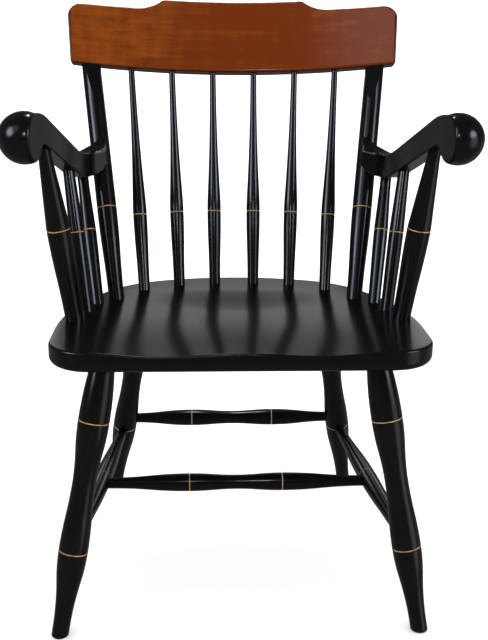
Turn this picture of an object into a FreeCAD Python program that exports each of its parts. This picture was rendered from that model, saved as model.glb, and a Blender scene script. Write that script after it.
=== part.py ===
import FreeCAD, Part
import math
import os

import Sketcher
from FreeCAD import Vector

# A captain's chair of turned and sawn hardwood, in millimetres, +Z up, +Y towards the back.
# The origin lies on the floor under the middle of the chair. Left and right are as seen from the front.
# Every set-back is measured from the seat's front edge towards the back.

doc = FreeCAD.newDocument("captains_chair")

SIZES = {
    # Seat plank: a shield outline with a saddled top
    "front_reach": 278.7,
    "seat_height": 432.0,
    "seat_thickness": 30.0,
    "seat_half_width": 265.0,
    "seat_depth": 429.5,
    "seat_corner_radius": 60.0,
    "seat_rear_radius": 355.0,
    "seat_rear_turn": 20.0,
    "seat_hip_radius": 161.0,
    "seat_hip_turn": 59.6,
    "seat_lower_edge": 5.0,
    "saddle_depth": 11.0,
    "saddle_side_rim": 50.0,
    "saddle_rear_rim": 77.5,
    "saddle_deepest": 235.0,
    "scoop_depth": 6.0,
    "scoop_spacing": 226.0,
    "scoop_half_width": 100.0,
    "scoop_reach": 210.0,
    "pommel_drop": 2.5,
    # Fits shared by every joint
    "glue_gap": 0.1,
    "socket_end_gap": 0.5,
    # Scored rings
    "ring_width": 2.4,
    "ring_depth": 0.9,
    # Legs: insets from the seat's edges at the top, splay from top to foot
    "front_leg_side_inset": 74.0,
    "front_leg_front_inset": 67.0,
    "front_leg_splay_out": 70.0,
    "front_leg_splay_forward": 48.0,
    "rear_leg_side_inset": 114.0,
    "rear_leg_rear_inset": 50.5,
    "rear_leg_splay_out": 68.0,
    "rear_leg_splay_back": 166.4,
    "leg_shoulder_drop": 5.0,
    "leg_seat_depth": 13.0,
    "leg_top_diameter": 33.0,
    "leg_upper_ring_diameter": 44.6,
    "leg_waist_diameter": 33.4,
    "leg_lower_ring_diameter": 42.0,
    "leg_ankle_diameter": 24.6,
    "leg_upper_ring_drop": 89.0,
    "leg_waist_drop": 180.0,
    "front_leg_lower_ring_drop": 281.5,
    "rear_leg_lower_ring_drop": 285.0,
    "leg_ankle_height": 12.0,
    "foot_trim": 9.0,
    "foot_edge": 2.5,
    # Stretchers
    "stretcher_end_diameter": 17.4,
    "stretcher_ring_diameter": 29.0,
    "stretcher_waist_diameter": 23.0,
    "stretcher_axis_gap": 4.0,
    "side_stretcher_front_height": 134.0,
    "side_stretcher_rear_height": 134.0,
    "rear_stretcher_height": 156.0,
    "rear_stretcher_ring_x": 72.5,
    "centre_stretcher_set_back": 246.0,
    "centre_stretcher_ring_x": 75.0,
    # Back posts
    "post_side_inset": 76.0,
    "post_rear_inset": 137.5,
    "post_crest_inset": 32.0,
    "post_seat_depth": 18.0,
    "post_base_diameter": 24.8,
    "post_ring_diameter": 31.4,
    "post_top_diameter": 30.6,
    "post_ring_height": 132.0,
    "post_flat_length": 62.0,
    "post_flat_depth": 6.5,
    "post_tenon_diameter": 14.0,
    "post_tenon_length": 30.0,
    # Back spindles
    "spindle_seat_depth": 18.0,
    "spindle_crest_depth": 25.0,
    "spindle_top_diameter": 10.2,
    "spindle_ring_diameter": 22.6,
    "spindle_base_diameter": 18.6,
    "spindle_ring_height": 115.0,
    "inner_spindle_base_x": 32.0,
    "inner_spindle_rear_inset": 38.0,
    "inner_spindle_top_x": 34.2,
    "middle_spindle_base_x": 91.2,
    "middle_spindle_rear_inset": 50.0,
    "middle_spindle_top_x": 102.4,
    "outer_spindle_base_x": 147.7,
    "outer_spindle_rear_inset": 82.5,
    "outer_spindle_top_x": 169.2,
    # Crest rail: a board bent in plan and leaning back
    "crest_overhang": 47.5,
    "crest_above_seat": 341.0,
    "crest_lean": 22.5,
    "crest_radius": 808.0,
    "crest_thickness": 22.0,
    "crest_half_width": 265.5,
    "crest_end_flare": 5.0,
    "crest_middle_height": 122.0,
    "crest_dip_height": 104.5,
    "crest_shoulder_height": 101.5,
    "crest_raised_half_width": 117.0,
    "crest_cove_length": 44.0,
    "crest_corner_radius": 24.0,
    # Arms: a sloping plank with a ball at the front and a hook at the back
    "knob_radius": 34.8,
    "knob_overhang": 19.5,
    "knob_set_back": 62.0,
    "knob_above_seat": 274.0,
    "arm_toe_in": 8.2,
    "arm_thickness": 26.0,
    "arm_face_inset": 15.6,
    "arm_top_slope": 21.2,
    "arm_line_reach": 41.0,
    "arm_crown_radius": 130.0,
    "arm_neck_along": 41.0,
    "arm_neck_depth": 40.6,
    "arm_throat_radius": 15.0,
    "arm_heel_lead": 108.0,
    "arm_heel_depth": 35.3,
    "arm_heel_bend": 200.0,
    "arm_dip_lead": 38.0,
    "arm_dip_radius": 240.0,
    "arm_lip_radius": 42.0,
    "arm_corner_lead": 22.0,
    "arm_corner_radius": 15.0,
    "arm_hook_turn": 52.0,
    "arm_hook_bend": 25.0,
    "arm_end_drop": 68.0,
    "arm_cope_depth": 4.0,
    "arm_end_reach": 11.6,
    # Arm posts and arm spindles
    "arm_post_side_inset": 25.0,
    "arm_post_base_set_back": 162.0,
    "arm_post_along": 77.0,
    "arm_post_seat_depth": 17.0,
    "arm_post_arm_depth": 17.0,
    "arm_post_base_diameter": 27.2,
    "arm_post_ring_diameter": 34.2,
    "arm_post_top_diameter": 18.8,
    "arm_post_ring_height": 137.0,
    "arm_spindle_seat_depth": 17.0,
    "arm_spindle_arm_depth": 18.0,
    "arm_spindle_base_diameter": 19.6,
    "arm_spindle_ring_diameter": 22.2,
    "arm_spindle_top_diameter": 17.6,
    "front_arm_spindle_side_inset": 37.0,
    "front_arm_spindle_base_set_back": 215.0,
    "front_arm_spindle_along": 202.0,
    "front_arm_spindle_ring_height": 114.5,
    "rear_arm_spindle_side_inset": 49.0,
    "rear_arm_spindle_base_set_back": 262.0,
    "rear_arm_spindle_along": 288.0,
    "rear_arm_spindle_ring_height": 103.5,
    "arm_turning_shoulder": 8.0,
    # Screws that hold the arms to the back posts, and the plugs over them
    "arm_screw_drop": 66.0,
    "arm_screw_reach": 48.0,
    "arm_screw_fall": 8.0,
    "arm_screw_shank_diameter": 4.8,
    "arm_screw_head_diameter": 9.2,
    "arm_screw_head_height": 4.0,
    "screw_plug_diameter": 9.5,
    "screw_plug_length": 7.0,
}

sheet = doc.addObject("Spreadsheet::Sheet", "Sizes")
for row, (alias, number) in enumerate(SIZES.items(), start=1):
    sheet.set(f"A{row}", alias)
    sheet.set(f"B{row}", str(number))
    sheet.setAlias(f"B{row}", alias)
doc.recompute()


class Measure:
    """A number together with the sheet formula that gives it."""

    def __init__(self, value, formula):
        self.value = value
        self.formula = formula

    def __add__(self, other):
        other = as_measure(other)
        return Measure(self.value + other.value, f"({self.formula} + {other.formula})")

    def __sub__(self, other):
        other = as_measure(other)
        return Measure(self.value - other.value, f"({self.formula} - {other.formula})")

    def __mul__(self, other):
        other = as_measure(other)
        return Measure(self.value * other.value, f"({self.formula} * {other.formula})")

    def __truediv__(self, other):
        other = as_measure(other)
        return Measure(self.value / other.value, f"({self.formula} / {other.formula})")

    def __neg__(self):
        return Measure(-self.value, f"(0 - {self.formula})")

    def __radd__(self, other):
        return as_measure(other) + self

    def __rsub__(self, other):
        return as_measure(other) - self

    def __rmul__(self, other):
        return as_measure(other) * self

    def __rtruediv__(self, other):
        return as_measure(other) / self


def as_measure(number):
    return number if isinstance(number, Measure) else Measure(float(number), repr(float(number)))


def size(alias):
    return Measure(float(SIZES[alias]), f"Sizes.{alias}")


def radius_of(alias):
    return size(alias) / 2


def root(measure):
    return Measure(math.sqrt(measure.value), f"sqrt({measure.formula})")


def magnitude(measure):
    return Measure(abs(measure.value), f"abs({measure.formula})")


def sine(degrees):
    return Measure(math.sin(math.radians(degrees.value)), f"sin({degrees.formula} * 1 deg)")


def cosine(degrees):
    return Measure(math.cos(math.radians(degrees.value)), f"cos({degrees.formula} * 1 deg)")


def tangent(degrees):
    return sine(degrees) / cosine(degrees)


def chair_point(x, set_back, height):
    """A point of the chair from its set-back behind the seat's front edge."""
    return as_measure(x), set_back - size("front_reach"), as_measure(height)


def mirrored(point, side):
    return point[0] * side, point[1], point[2]


def between(start, end):
    """The run from one point to another, and its length."""
    run = tuple(b - a for a, b in zip(start, end))
    return run, root(run[0] * run[0] + run[1] * run[1] + run[2] * run[2])


def along_axis(start, end, distance):
    """The point that lies a distance from the start towards the end."""
    run, length = between(start, end)
    return tuple(a + b * distance / length for a, b in zip(start, run))


def vector_formula(point):
    return "vector(" + "; ".join(part.formula for part in point) + ")"


def axis_placement(start, end, distance):
    """Stands local +Z along the line from start to end, with the origin a distance along it."""
    (dx, dy, dz), _ = between(start, end)
    turn = f"rotation({vector_formula((-dy, dx, as_measure(0)))}; "
    turn += f"atan2(hypot({dx.formula}; {dy.formula}); {dz.formula}))"
    return f"placement({vector_formula(along_axis(start, end, distance))}; {turn})"


def place(feature, formula):
    feature.setExpression("Placement", formula)


def bind(feature, **properties):
    for name, measure in properties.items():
        feature.setExpression(name, as_measure(measure).formula)


def draw_outline(sketch, corners, arcs):
    """Draws a closed outline. arcs gives (radius, side) for each segment that bends; side 1 is its left."""
    pieces = []
    for index, corner in enumerate(corners):
        following = corners[(index + 1) % len(corners)]
        a = Vector(corner[0].value, corner[1].value, 0)
        b = Vector(following[0].value, following[1].value, 0)
        if index in arcs:
            bend, side = arcs[index]
            chord = b - a
            rise = bend.value - math.sqrt(max(bend.value ** 2 - chord.Length ** 2 / 4, 0.0))
            across = Vector(-chord.y, chord.x, 0).normalize()
            curve = Part.Arc(a, (a + b) / 2 + across * side * rise, b)
            piece = sketch.addGeometry(curve)
            starts_first = (sketch.getPoint(piece, 1) - a).Length < (sketch.getPoint(piece, 2) - a).Length
            pieces.append((piece, 1 if starts_first else 2, 2 if starts_first else 1))
        else:
            pieces.append((sketch.addGeometry(Part.LineSegment(a, b)), 1, 2))
    for index, (piece, start, _) in enumerate(pieces):
        before, _, before_end = pieces[index - 1]
        sketch.addConstraint(Sketcher.Constraint("Coincident", before, before_end, piece, start))
        for kind, measure, axis in zip(("DistanceX", "DistanceY"), corners[index], (-2, -1)):
            if measure.formula == "0.0":
                sketch.addConstraint(Sketcher.Constraint("PointOnObject", piece, start, axis))
            else:
                rule = Sketcher.Constraint(kind, -1, 1, piece, start, measure.value)
                number = sketch.addConstraint(rule)
                sketch.setExpression(f"Constraints[{number}]", measure.formula)
        if index in arcs:
            number = sketch.addConstraint(Sketcher.Constraint("Radius", piece, arcs[index][0].value))
            sketch.setExpression(f"Constraints[{number}]", arcs[index][0].formula)


class Turning:
    """The outline of a turned piece, from its lower end upwards: radius across, height up the axis."""

    def __init__(self, radius):
        self.corners = [(as_measure(0), as_measure(0)), (radius, as_measure(0))]
        self.arcs = {}

    def straight(self, height, radius):
        self.corners.append((radius, height))

    def wave(self, height, radius, share=0.5):
        """Two arcs, level at both ends; the first takes the given share of the length."""
        start_radius, start_height = self.corners[-1]
        rise, reach = radius - start_radius, height - start_height
        both = (reach * reach + rise * rise) / (2 * magnitude(rise))
        side = 1 if rise.value > 0 else -1
        self.arcs[len(self.corners) - 1] = (both * share, side)
        self.corners.append((start_radius + rise * share, start_height + reach * share))
        self.arcs[len(self.corners) - 1] = (both * (1 - share), -side)
        self.corners.append((radius, height))

    def crown(self, height, radius):
        """One arc, level at its thick lower end."""
        start_radius, start_height = self.corners[-1]
        rise, reach = radius - start_radius, height - start_height
        self.arcs[len(self.corners) - 1] = ((reach * reach + rise * rise) / (2 * magnitude(rise)), -1)
        self.corners.append((radius, height))

    def ring(self):
        """A scored V groove that starts here."""
        radius, height = self.corners[-1]
        self.straight(height + size("ring_width") / 2, radius - size("ring_depth"))
        self.straight(height + size("ring_width"), radius)

    def make(self, name, placement):
        """Revolves the outline to a solid standing at the placement."""
        self.corners.append((as_measure(0), self.corners[-1][1]))
        body = doc.addObject("PartDesign::Body", name)
        sketch = body.newObject("Sketcher::SketchObject", f"{name}_outline")
        plane = next(plane for plane in body.Origin.OriginFeatures if plane.Role == "XZ_Plane")
        sketch.AttachmentSupport = [(plane, "")]
        sketch.MapMode = "FlatFace"
        draw_outline(sketch, self.corners, self.arcs)
        doc.recompute()
        turned = body.newObject("PartDesign::Revolution", f"{name}_turned")
        turned.Profile = sketch
        turned.ReferenceAxis = (sketch, ["V_Axis"])
        turned.Angle = 360
        place(body, placement)
        return body


def extrusion(name, corners, arcs, placement, forward, backward=0):
    """A prism of an outline drawn on a placed plane."""
    sketch = doc.addObject("Sketcher::SketchObject", f"{name}_outline")
    place(sketch, placement)
    draw_outline(sketch, corners, arcs)
    prism = doc.addObject("Part::Extrusion", name)
    prism.Base = sketch
    prism.DirMode = "Normal"
    prism.Solid = True
    bind(prism, LengthFwd=forward, LengthRev=backward)
    return prism


def cylinder(name, radius, start, end, first, last):
    """A cylinder on the line from start to end, between two distances along it."""
    rod = doc.addObject("Part::Cylinder", name)
    bind(rod, Radius=radius, Height=last - first)
    place(rod, axis_placement(start, end, first))
    return rod


def shift(point):
    """A placement that only moves."""
    return f"placement({vector_formula(point)}; rotation(vector(0; 0; 1); 0))"


def block(name, length, width, height, placement):
    solid = doc.addObject("Part::Box", name)
    bind(solid, Length=length, Width=width, Height=height)
    place(solid, placement)
    return solid


def combine(kind, name, shapes):
    joined = doc.addObject(kind, name)
    joined.Shapes = shapes
    return joined


def cut(name, base, tools):
    result = doc.addObject("Part::Cut", name)
    result.Base = base
    result.Tool = tools[0] if len(tools) == 1 else combine("Part::MultiFuse", f"{name}_tools", tools)
    return result


def mirror_image(name, source):
    """The same piece on the chair's other side."""
    image = doc.addObject("Part::Mirroring", name)
    image.Source = source
    image.Normal = Vector(1, 0, 0)
    return image


NODES = []


def node(feature, label):
    feature.Label = label
    NODES.append(feature)


SIDES = {"left": -1, "right": 1}
GLUE = size("glue_gap")
END_GAP = size("socket_end_gap")
HALF_RING = size("ring_width") / 2
SEAT_TOP = size("seat_height")
SEAT_UNDERSIDE = SEAT_TOP - size("seat_thickness")
# Tools are this much longer than what they cut
OVERRUN = size("seat_thickness")

# Axes of the legs: foot on the floor, top at the seat's underside
LEG_TOP_SET_BACK = {"front": size("front_leg_front_inset"),
                    "rear": size("seat_depth") - size("rear_leg_rear_inset")}
LEG_FOOT_SET_BACK = {"front": LEG_TOP_SET_BACK["front"] - size("front_leg_splay_forward"),
                     "rear": LEG_TOP_SET_BACK["rear"] + size("rear_leg_splay_back")}
LEG_AXES = {}
for end in ("front", "rear"):
    for side, sign in SIDES.items():
        top_x = size("seat_half_width") - size(f"{end}_leg_side_inset")
        foot_x = top_x + size(f"{end}_leg_splay_out")
        top = chair_point(top_x, LEG_TOP_SET_BACK[end], SEAT_UNDERSIDE)
        foot = chair_point(foot_x, LEG_FOOT_SET_BACK[end], 0)
        LEG_AXES[end, side] = mirrored(foot, sign), mirrored(top, sign)


def leg_point(end, side, height):
    """The point of a leg's axis at a height above the floor."""
    foot, top = LEG_AXES[end, side]
    return tuple(a + (b - a) * height / SEAT_UNDERSIDE for a, b in zip(foot, top))


# Axes of the stretchers, from leg axis to leg axis
STRETCHER_AXES = {}
for side in SIDES:
    STRETCHER_AXES[side] = (leg_point("front", side, size("side_stretcher_front_height")),
                            leg_point("rear", side, size("side_stretcher_rear_height")))
STRETCHER_AXES["rear"] = tuple(leg_point("rear", side, size("rear_stretcher_height")) for side in SIDES)


def side_stretcher_point(side, set_back):
    """The point of a side stretcher's axis at a set-back."""
    front, rear = STRETCHER_AXES[side]
    share = (set_back - size("front_reach") - front[1]) / (rear[1] - front[1])
    return tuple(a + (b - a) * share for a, b in zip(front, rear))


STRETCHER_AXES["centre"] = tuple(side_stretcher_point(side, size("centre_stretcher_set_back"))
                                 for side in SIDES)


def crest_point(x, depth, up):
    """A point of the crest from its sideways place, depth behind the front face and height up the board."""
    x = as_measure(x)
    bend = size("crest_radius")
    behind = root(bend * bend - x * x) - bend + depth
    lean = size("crest_lean")
    set_back = size("seat_depth") + size("crest_overhang") + behind * cosine(lean) + up * sine(lean)
    height = SEAT_TOP + size("crest_above_seat") - behind * sine(lean) + up * cosine(lean)
    return chair_point(x, set_back, height)


CREST_MIDDLE = size("crest_thickness") / 2

# Axes of the back posts and back spindles: base on the seat, top at the crest's lower edge
POST_TOP_X = size("crest_half_width") - size("post_crest_inset")
POST_AXES = {}
for side, sign in SIDES.items():
    base_x = size("seat_half_width") - size("post_side_inset")
    base = chair_point(base_x, size("seat_depth") - size("post_rear_inset"), SEAT_TOP)
    POST_AXES[side] = mirrored(base, sign), mirrored(crest_point(POST_TOP_X, CREST_MIDDLE, 0), sign)

SPINDLE_AXES = []
for sign, places in ((-1, ("outer", "middle", "inner")), (1, ("inner", "middle", "outer"))):
    for name in places:
        set_back = size("seat_depth") - size(f"{name}_spindle_rear_inset")
        base = chair_point(size(f"{name}_spindle_base_x"), set_back, SEAT_TOP)
        top = crest_point(size(f"{name}_spindle_top_x"), CREST_MIDDLE, 0)
        SPINDLE_AXES.append((mirrored(base, sign), mirrored(top, sign)))


KNOB_X = size("seat_half_width") + size("knob_overhang")
KNOB_HEIGHT = SEAT_TOP + size("knob_above_seat")


def arm_point(along, across, up):
    """A point of the right arm from its ball's centre: back along the arm, outwards and up."""
    toe = size("arm_toe_in")
    x = KNOB_X + across * cosine(toe) - along * sine(toe)
    set_back = size("knob_set_back") + across * sine(toe) + along * cosine(toe)
    return chair_point(x, set_back, KNOB_HEIGHT + up)


# The arm's upper line runs level from the top of the circle where the flat inner face cuts the ball, then slopes
ARM_SLOPE = size("arm_top_slope")
ARM_INNER = -size("arm_face_inset")
ARM_OUTER = ARM_INNER + size("arm_thickness")
ARM_CENTRE = (ARM_INNER + ARM_OUTER) / 2
FACE_CIRCLE = root(size("knob_radius") * size("knob_radius") - ARM_INNER * ARM_INNER) - GLUE


def arm_upper(along):
    """The height of the sloping line above the ball's centre."""
    return size("arm_line_reach") / cosine(ARM_SLOPE) - along * tangent(ARM_SLOPE)


def post_point(height):
    """The point of the right back post's axis at a height above the floor."""
    base, top = POST_AXES["right"]
    share = (height - base[2]) / (top[2] - base[2])
    return tuple(a + (b - a) * share for a, b in zip(base, top))


# Where the post meets the arm's end, seen from the ball: back along the arm and outwards
TOE = size("arm_toe_in")
meeting_x, meeting_y, _ = post_point(KNOB_HEIGHT - size("arm_end_drop"))
run_x, run_y = meeting_x - KNOB_X, meeting_y - (size("knob_set_back") - size("front_reach"))
POST_ALONG = run_y * cosine(TOE) - run_x * sine(TOE)
POST_ACROSS = run_x * cosine(TOE) + run_y * sine(TOE)

heel_along = POST_ALONG - size("arm_heel_lead")
NECK = size("arm_neck_along"), arm_upper(size("arm_neck_along")) - size("arm_neck_depth")
HEEL = heel_along, arm_upper(heel_along) - size("arm_heel_depth")


def arm_underside(along):
    return NECK[1] + (HEEL[1] - NECK[1]) * (along - NECK[0]) / (HEEL[0] - NECK[0])


# Axes of the arm posts and arm spindles: base on the seat, top at the arm's underside
ARM_TURNING_AXES = {}
for piece in ("arm_post", "front_arm_spindle", "rear_arm_spindle"):
    base_x = size("seat_half_width") - size(f"{piece}_side_inset")
    base = chair_point(base_x, size(f"{piece}_base_set_back"), SEAT_TOP)
    along = size(f"{piece}_along")
    top = arm_point(along, ARM_CENTRE, arm_underside(along))
    for side, sign in SIDES.items():
        ARM_TURNING_AXES[piece, side] = mirrored(base, sign), mirrored(top, sign)

# Seat: the shield outline is front edge, corners, sides, hips and a round back
half_width = size("seat_half_width")
corner = size("seat_corner_radius")
rear_bend, rear_turn = size("seat_rear_radius"), size("seat_rear_turn")
hip_bend, hip_turn = size("seat_hip_radius"), size("seat_hip_turn")
front_y = -size("front_reach")
rear_centre_y = front_y + size("seat_depth") - rear_bend
rear_x, rear_y = rear_bend * sine(rear_turn), rear_centre_y + rear_bend * cosine(rear_turn)
hip_x = rear_x + hip_bend * (sine(hip_turn) - sine(rear_turn))
hip_y = rear_y + hip_bend * (cosine(hip_turn) - cosine(rear_turn))
side_bend = (half_width - hip_x) / (1 - sine(hip_turn))
side_y = hip_y - side_bend * cosine(hip_turn)
right_half = [(half_width - corner, front_y), (half_width, front_y + corner), (half_width, side_y),
              (hip_x, hip_y), (rear_x, rear_y)]
left_half = [(-x, y) for x, y in reversed(right_half)]
seat_arcs = {0: corner, 2: side_bend, 3: hip_bend, 4: rear_bend, 5: hip_bend, 6: side_bend, 8: corner}
blank = extrusion("seat_blank", right_half + left_half,
                  {index: (bend, -1) for index, bend in seat_arcs.items()},
                  shift((as_measure(0), as_measure(0), SEAT_UNDERSIDE)), size("seat_thickness") + OVERRUN)
doc.recompute()
eased = doc.addObject("Part::Fillet", "seat_eased_blank")
eased.Base = blank
lower_edges = [number for number, edge in enumerate(blank.Shape.Edges, start=1)
               if edge.BoundBox.ZMax < SEAT_UNDERSIDE.value + SIZES["seat_lower_edge"]]
eased.Edges = [(number, SIZES["seat_lower_edge"], SIZES["seat_lower_edge"]) for number in lower_edges]


def hump(distance):
    """A smooth bump: 1 in the middle, 0 and level at a distance of 1."""
    return max(0.0, 1 - distance * distance) ** 2


def saddle(x, set_back):
    """How far the saddled top lies below the rim: a bowl, two thigh scoops and the pommel between them."""
    deepest = SIZES["saddle_deepest"]
    back = SIZES["seat_depth"] - SIZES["saddle_rear_rim"]
    rise = SIZES["saddle_depth"] - SIZES["pommel_drop"]
    if set_back > deepest:
        bowl = SIZES["saddle_depth"] * hump((set_back - deepest) / (back - deepest))
    else:
        bowl = SIZES["pommel_drop"] + rise * hump((deepest - set_back) / deepest)
    bowl *= hump(x / (SIZES["seat_half_width"] - SIZES["saddle_side_rim"]))
    beside = (abs(x) - SIZES["scoop_spacing"] / 2) / SIZES["scoop_half_width"]
    return bowl + SIZES["scoop_depth"] * hump(beside) * hump(set_back / SIZES["scoop_reach"])


SADDLE_COLUMNS = 45
SADDLE_ROWS = 31


def saddle_cutter():
    """The solid above the saddled top, over the whole seat and a margin round it."""
    margin = SIZES["seat_thickness"]
    across = SIZES["seat_half_width"] + margin
    length = SIZES["seat_depth"] + 2 * margin
    grid = []
    for column in range(SADDLE_COLUMNS):
        x = across * (2 * column / (SADDLE_COLUMNS - 1) - 1)
        line = []
        for row in range(SADDLE_ROWS):
            set_back = length * row / (SADDLE_ROWS - 1) - margin
            height = SIZES["seat_height"] - saddle(x, max(set_back, 0.0))
            line.append(Vector(x, set_back - SIZES["front_reach"], height))
        grid.append(line)
    surface = Part.BSplineSurface()
    surface.interpolate(grid)
    return surface.toShape().extrude(Vector(0, 0, 2 * margin))


saddle_tool = doc.addObject("Part::Feature", "saddle_tool")
saddle_tool.Shape = saddle_cutter()
saddled = cut("seat_saddled", eased, [saddle_tool])
seat_sockets = []
leg_top_radius = radius_of("leg_top_diameter")
for (end, side), (foot, top) in LEG_AXES.items():
    _, length = between(foot, top)
    seat_sockets.append(cylinder(f"{end}_{side}_leg_socket", leg_top_radius + GLUE, foot, top,
                                 length - OVERRUN, length + size("leg_seat_depth") + END_GAP))


def seat_socket(name, family, axis):
    """The bored hole in the seat for the foot of a post or spindle."""
    return cylinder(f"{name}_socket", radius_of(f"{family}_base_diameter") + GLUE, *axis,
                    -size(f"{family}_seat_depth") - END_GAP, OVERRUN)


FAMILY = {"arm_post": "arm_post", "front_arm_spindle": "arm_spindle", "rear_arm_spindle": "arm_spindle"}
for side, axis in POST_AXES.items():
    seat_sockets.append(seat_socket(f"{side}_post", "post", axis))
for number, axis in enumerate(SPINDLE_AXES, start=1):
    seat_sockets.append(seat_socket(f"spindle_{number}", "spindle", axis))
for (piece, side), axis in ARM_TURNING_AXES.items():
    seat_sockets.append(seat_socket(f"{side}_{piece}", FAMILY[piece], axis))
node(cut("seat", saddled, seat_sockets), "seat")

# Legs: turned with two rings, bored into the seat above and sawn level at the floor
LEG_FLARE_SHARE = 0.62
stretcher_end = radius_of("stretcher_end_diameter")


def stretcher_socket(name, axis, from_start):
    """The bored hole for one end of a stretcher, which stops short of the far piece's axis."""
    start, end = axis if from_start else axis[::-1]
    first = size("stretcher_axis_gap") - END_GAP
    return cylinder(name, stretcher_end + GLUE, start, end, first, first + size("leg_upper_ring_diameter"))


for (end, side), (foot, top) in LEG_AXES.items():
    name = f"{end}_{side}_leg"
    _, length = between(foot, top)
    floor_to_top = size("foot_trim") + length
    turning = Turning(radius_of("leg_ankle_diameter"))
    turning.straight(size("foot_trim") + size("leg_ankle_height"), radius_of("leg_ankle_diameter"))
    lower_ring = floor_to_top - size(f"{end}_leg_lower_ring_drop")
    turning.wave(lower_ring - HALF_RING, radius_of("leg_lower_ring_diameter"), LEG_FLARE_SHARE)
    turning.ring()
    turning.wave(floor_to_top - size("leg_waist_drop"), radius_of("leg_waist_diameter"))
    turning.wave(floor_to_top - size("leg_upper_ring_drop") - HALF_RING, radius_of("leg_upper_ring_diameter"))
    turning.ring()
    turning.crown(floor_to_top - size("leg_shoulder_drop"), leg_top_radius)
    turning.straight(floor_to_top + size("leg_seat_depth"), leg_top_radius)
    blank = turning.make(f"{name}_blank", axis_placement(foot, top, -size("foot_trim")))
    width = size("leg_upper_ring_diameter") * 2
    under = foot[0] - width / 2, foot[1] - width / 2, -width
    tools = [block(f"{name}_floor", width, width, width, shift(under)),
             stretcher_socket(f"{name}_side_socket", STRETCHER_AXES[side], end == "front")]
    if end == "rear":
        tools.append(stretcher_socket(f"{name}_rear_socket", STRETCHER_AXES["rear"], side == "left"))
    sawn = cut(f"{name}_sawn", blank, tools)
    doc.recompute()
    foot_edges = [number for number, edge in enumerate(sawn.Shape.Edges, start=1)
                  if edge.BoundBox.ZMax < SIZES["foot_edge"] / 2]
    leg = doc.addObject("Part::Fillet", name)
    leg.Base = sawn
    leg.Edges = [(number, SIZES["foot_edge"], SIZES["foot_edge"]) for number in foot_edges]
    node(leg, name)

# Stretchers: one ring on the side pair, two rings and a waist on the others
ring_radius = radius_of("stretcher_ring_diameter")
for place_name, (start, end) in STRETCHER_AXES.items():
    name = f"{place_name}_stretcher" if place_name not in SIDES else f"{place_name}_side_stretcher"
    _, length = between(start, end)
    gap = size("stretcher_axis_gap")
    whole = length - gap * 2
    bury = radius_of("leg_waist_diameter") - gap
    turning = Turning(stretcher_end)
    turning.straight(bury, stretcher_end)
    if place_name in SIDES:
        turning.wave(whole / 2 - HALF_RING, ring_radius)
        turning.ring()
    else:
        ring_x = size(f"{place_name}_stretcher_ring_x")
        turning.wave(whole / 2 - ring_x - HALF_RING, ring_radius)
        turning.ring()
        turning.wave(whole / 2, radius_of("stretcher_waist_diameter"))
        turning.wave(whole / 2 + ring_x - HALF_RING, ring_radius)
        turning.ring()
    turning.wave(whole - bury, stretcher_end)
    turning.straight(whole, stretcher_end)
    turned = turning.make(f"{name}_blank", axis_placement(start, end, gap))
    if place_name in SIDES:
        centre_socket = stretcher_socket(f"{name}_socket", STRETCHER_AXES["centre"], place_name == "left")
        turned = cut(name, turned, [centre_socket])
    node(turned, name)

# Crest rail: a bent band cut to its front outline, bored for the posts and spindles
crest_half = size("crest_half_width")
band_front, band_back = size("crest_radius"), size("crest_radius") + size("crest_thickness")
band_x = crest_half + size("crest_end_flare") + size("crest_thickness")


def band_corner(bend, sign):
    return band_x * sign, root(bend * bend - band_x * band_x) - size("crest_radius")


crest_origin = vector_formula(crest_point(0, 0, as_measure(0)))
crest_lean = f"rotation(vector(1; 0; 0); {(-size('crest_lean')).formula} * 1 deg)"
upright = "rotation(vector(1; 0; 0); 90 deg)"
band_corners = [band_corner(band_front, -1), band_corner(band_front, 1),
                band_corner(band_back, 1), band_corner(band_back, -1)]
band = extrusion("crest_band", band_corners, {0: (band_front, 1), 2: (band_back, -1)},
                 f"placement({crest_origin}; {crest_lean})", size("crest_middle_height") + OVERRUN, OVERRUN)
middle, dip = size("crest_middle_height"), size("crest_dip_height")
shoulder, raised = size("crest_shoulder_height"), size("crest_raised_half_width")
cove, corner = size("crest_cove_length"), size("crest_corner_radius")
cove_bend = (cove * cove + (middle - dip) * (middle - dip)) / (2 * (middle - dip))
crest_end = crest_half + size("crest_end_flare")
half_outline = [(crest_half, as_measure(0)), (crest_end, shoulder - corner), (crest_end - corner, shoulder),
                (raised + cove, dip), (raised, middle)]
outline = half_outline + [(-x, z) for x, z in reversed(half_outline)]
board = extrusion("crest_board", outline,
                  {1: (corner, -1), 3: (cove_bend, 1), 5: (cove_bend, 1), 7: (corner, -1)},
                  f"placement({crest_origin}; {crest_lean} * {upright})", band_front / 4, band_front / 4)
crest_blank = combine("Part::MultiCommon", "crest_blank", [band, board])
post_tenon = radius_of("post_tenon_diameter")
spindle_top = radius_of("spindle_top_diameter")
crest_sockets = []
for side, (base, top) in POST_AXES.items():
    _, length = between(base, top)
    crest_sockets.append(cylinder(f"{side}_post_crest_socket", post_tenon + GLUE, base, top,
                                  length - OVERRUN, length + size("post_tenon_length") + END_GAP))
for number, (base, top) in enumerate(SPINDLE_AXES, start=1):
    _, length = between(base, top)
    crest_sockets.append(cylinder(f"spindle_{number}_crest_socket", spindle_top + GLUE, base, top,
                                  length - OVERRUN, length + size("spindle_crest_depth") + END_GAP))
node(cut("crest_rail", crest_blank, crest_sockets), "crest_rail")

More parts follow.
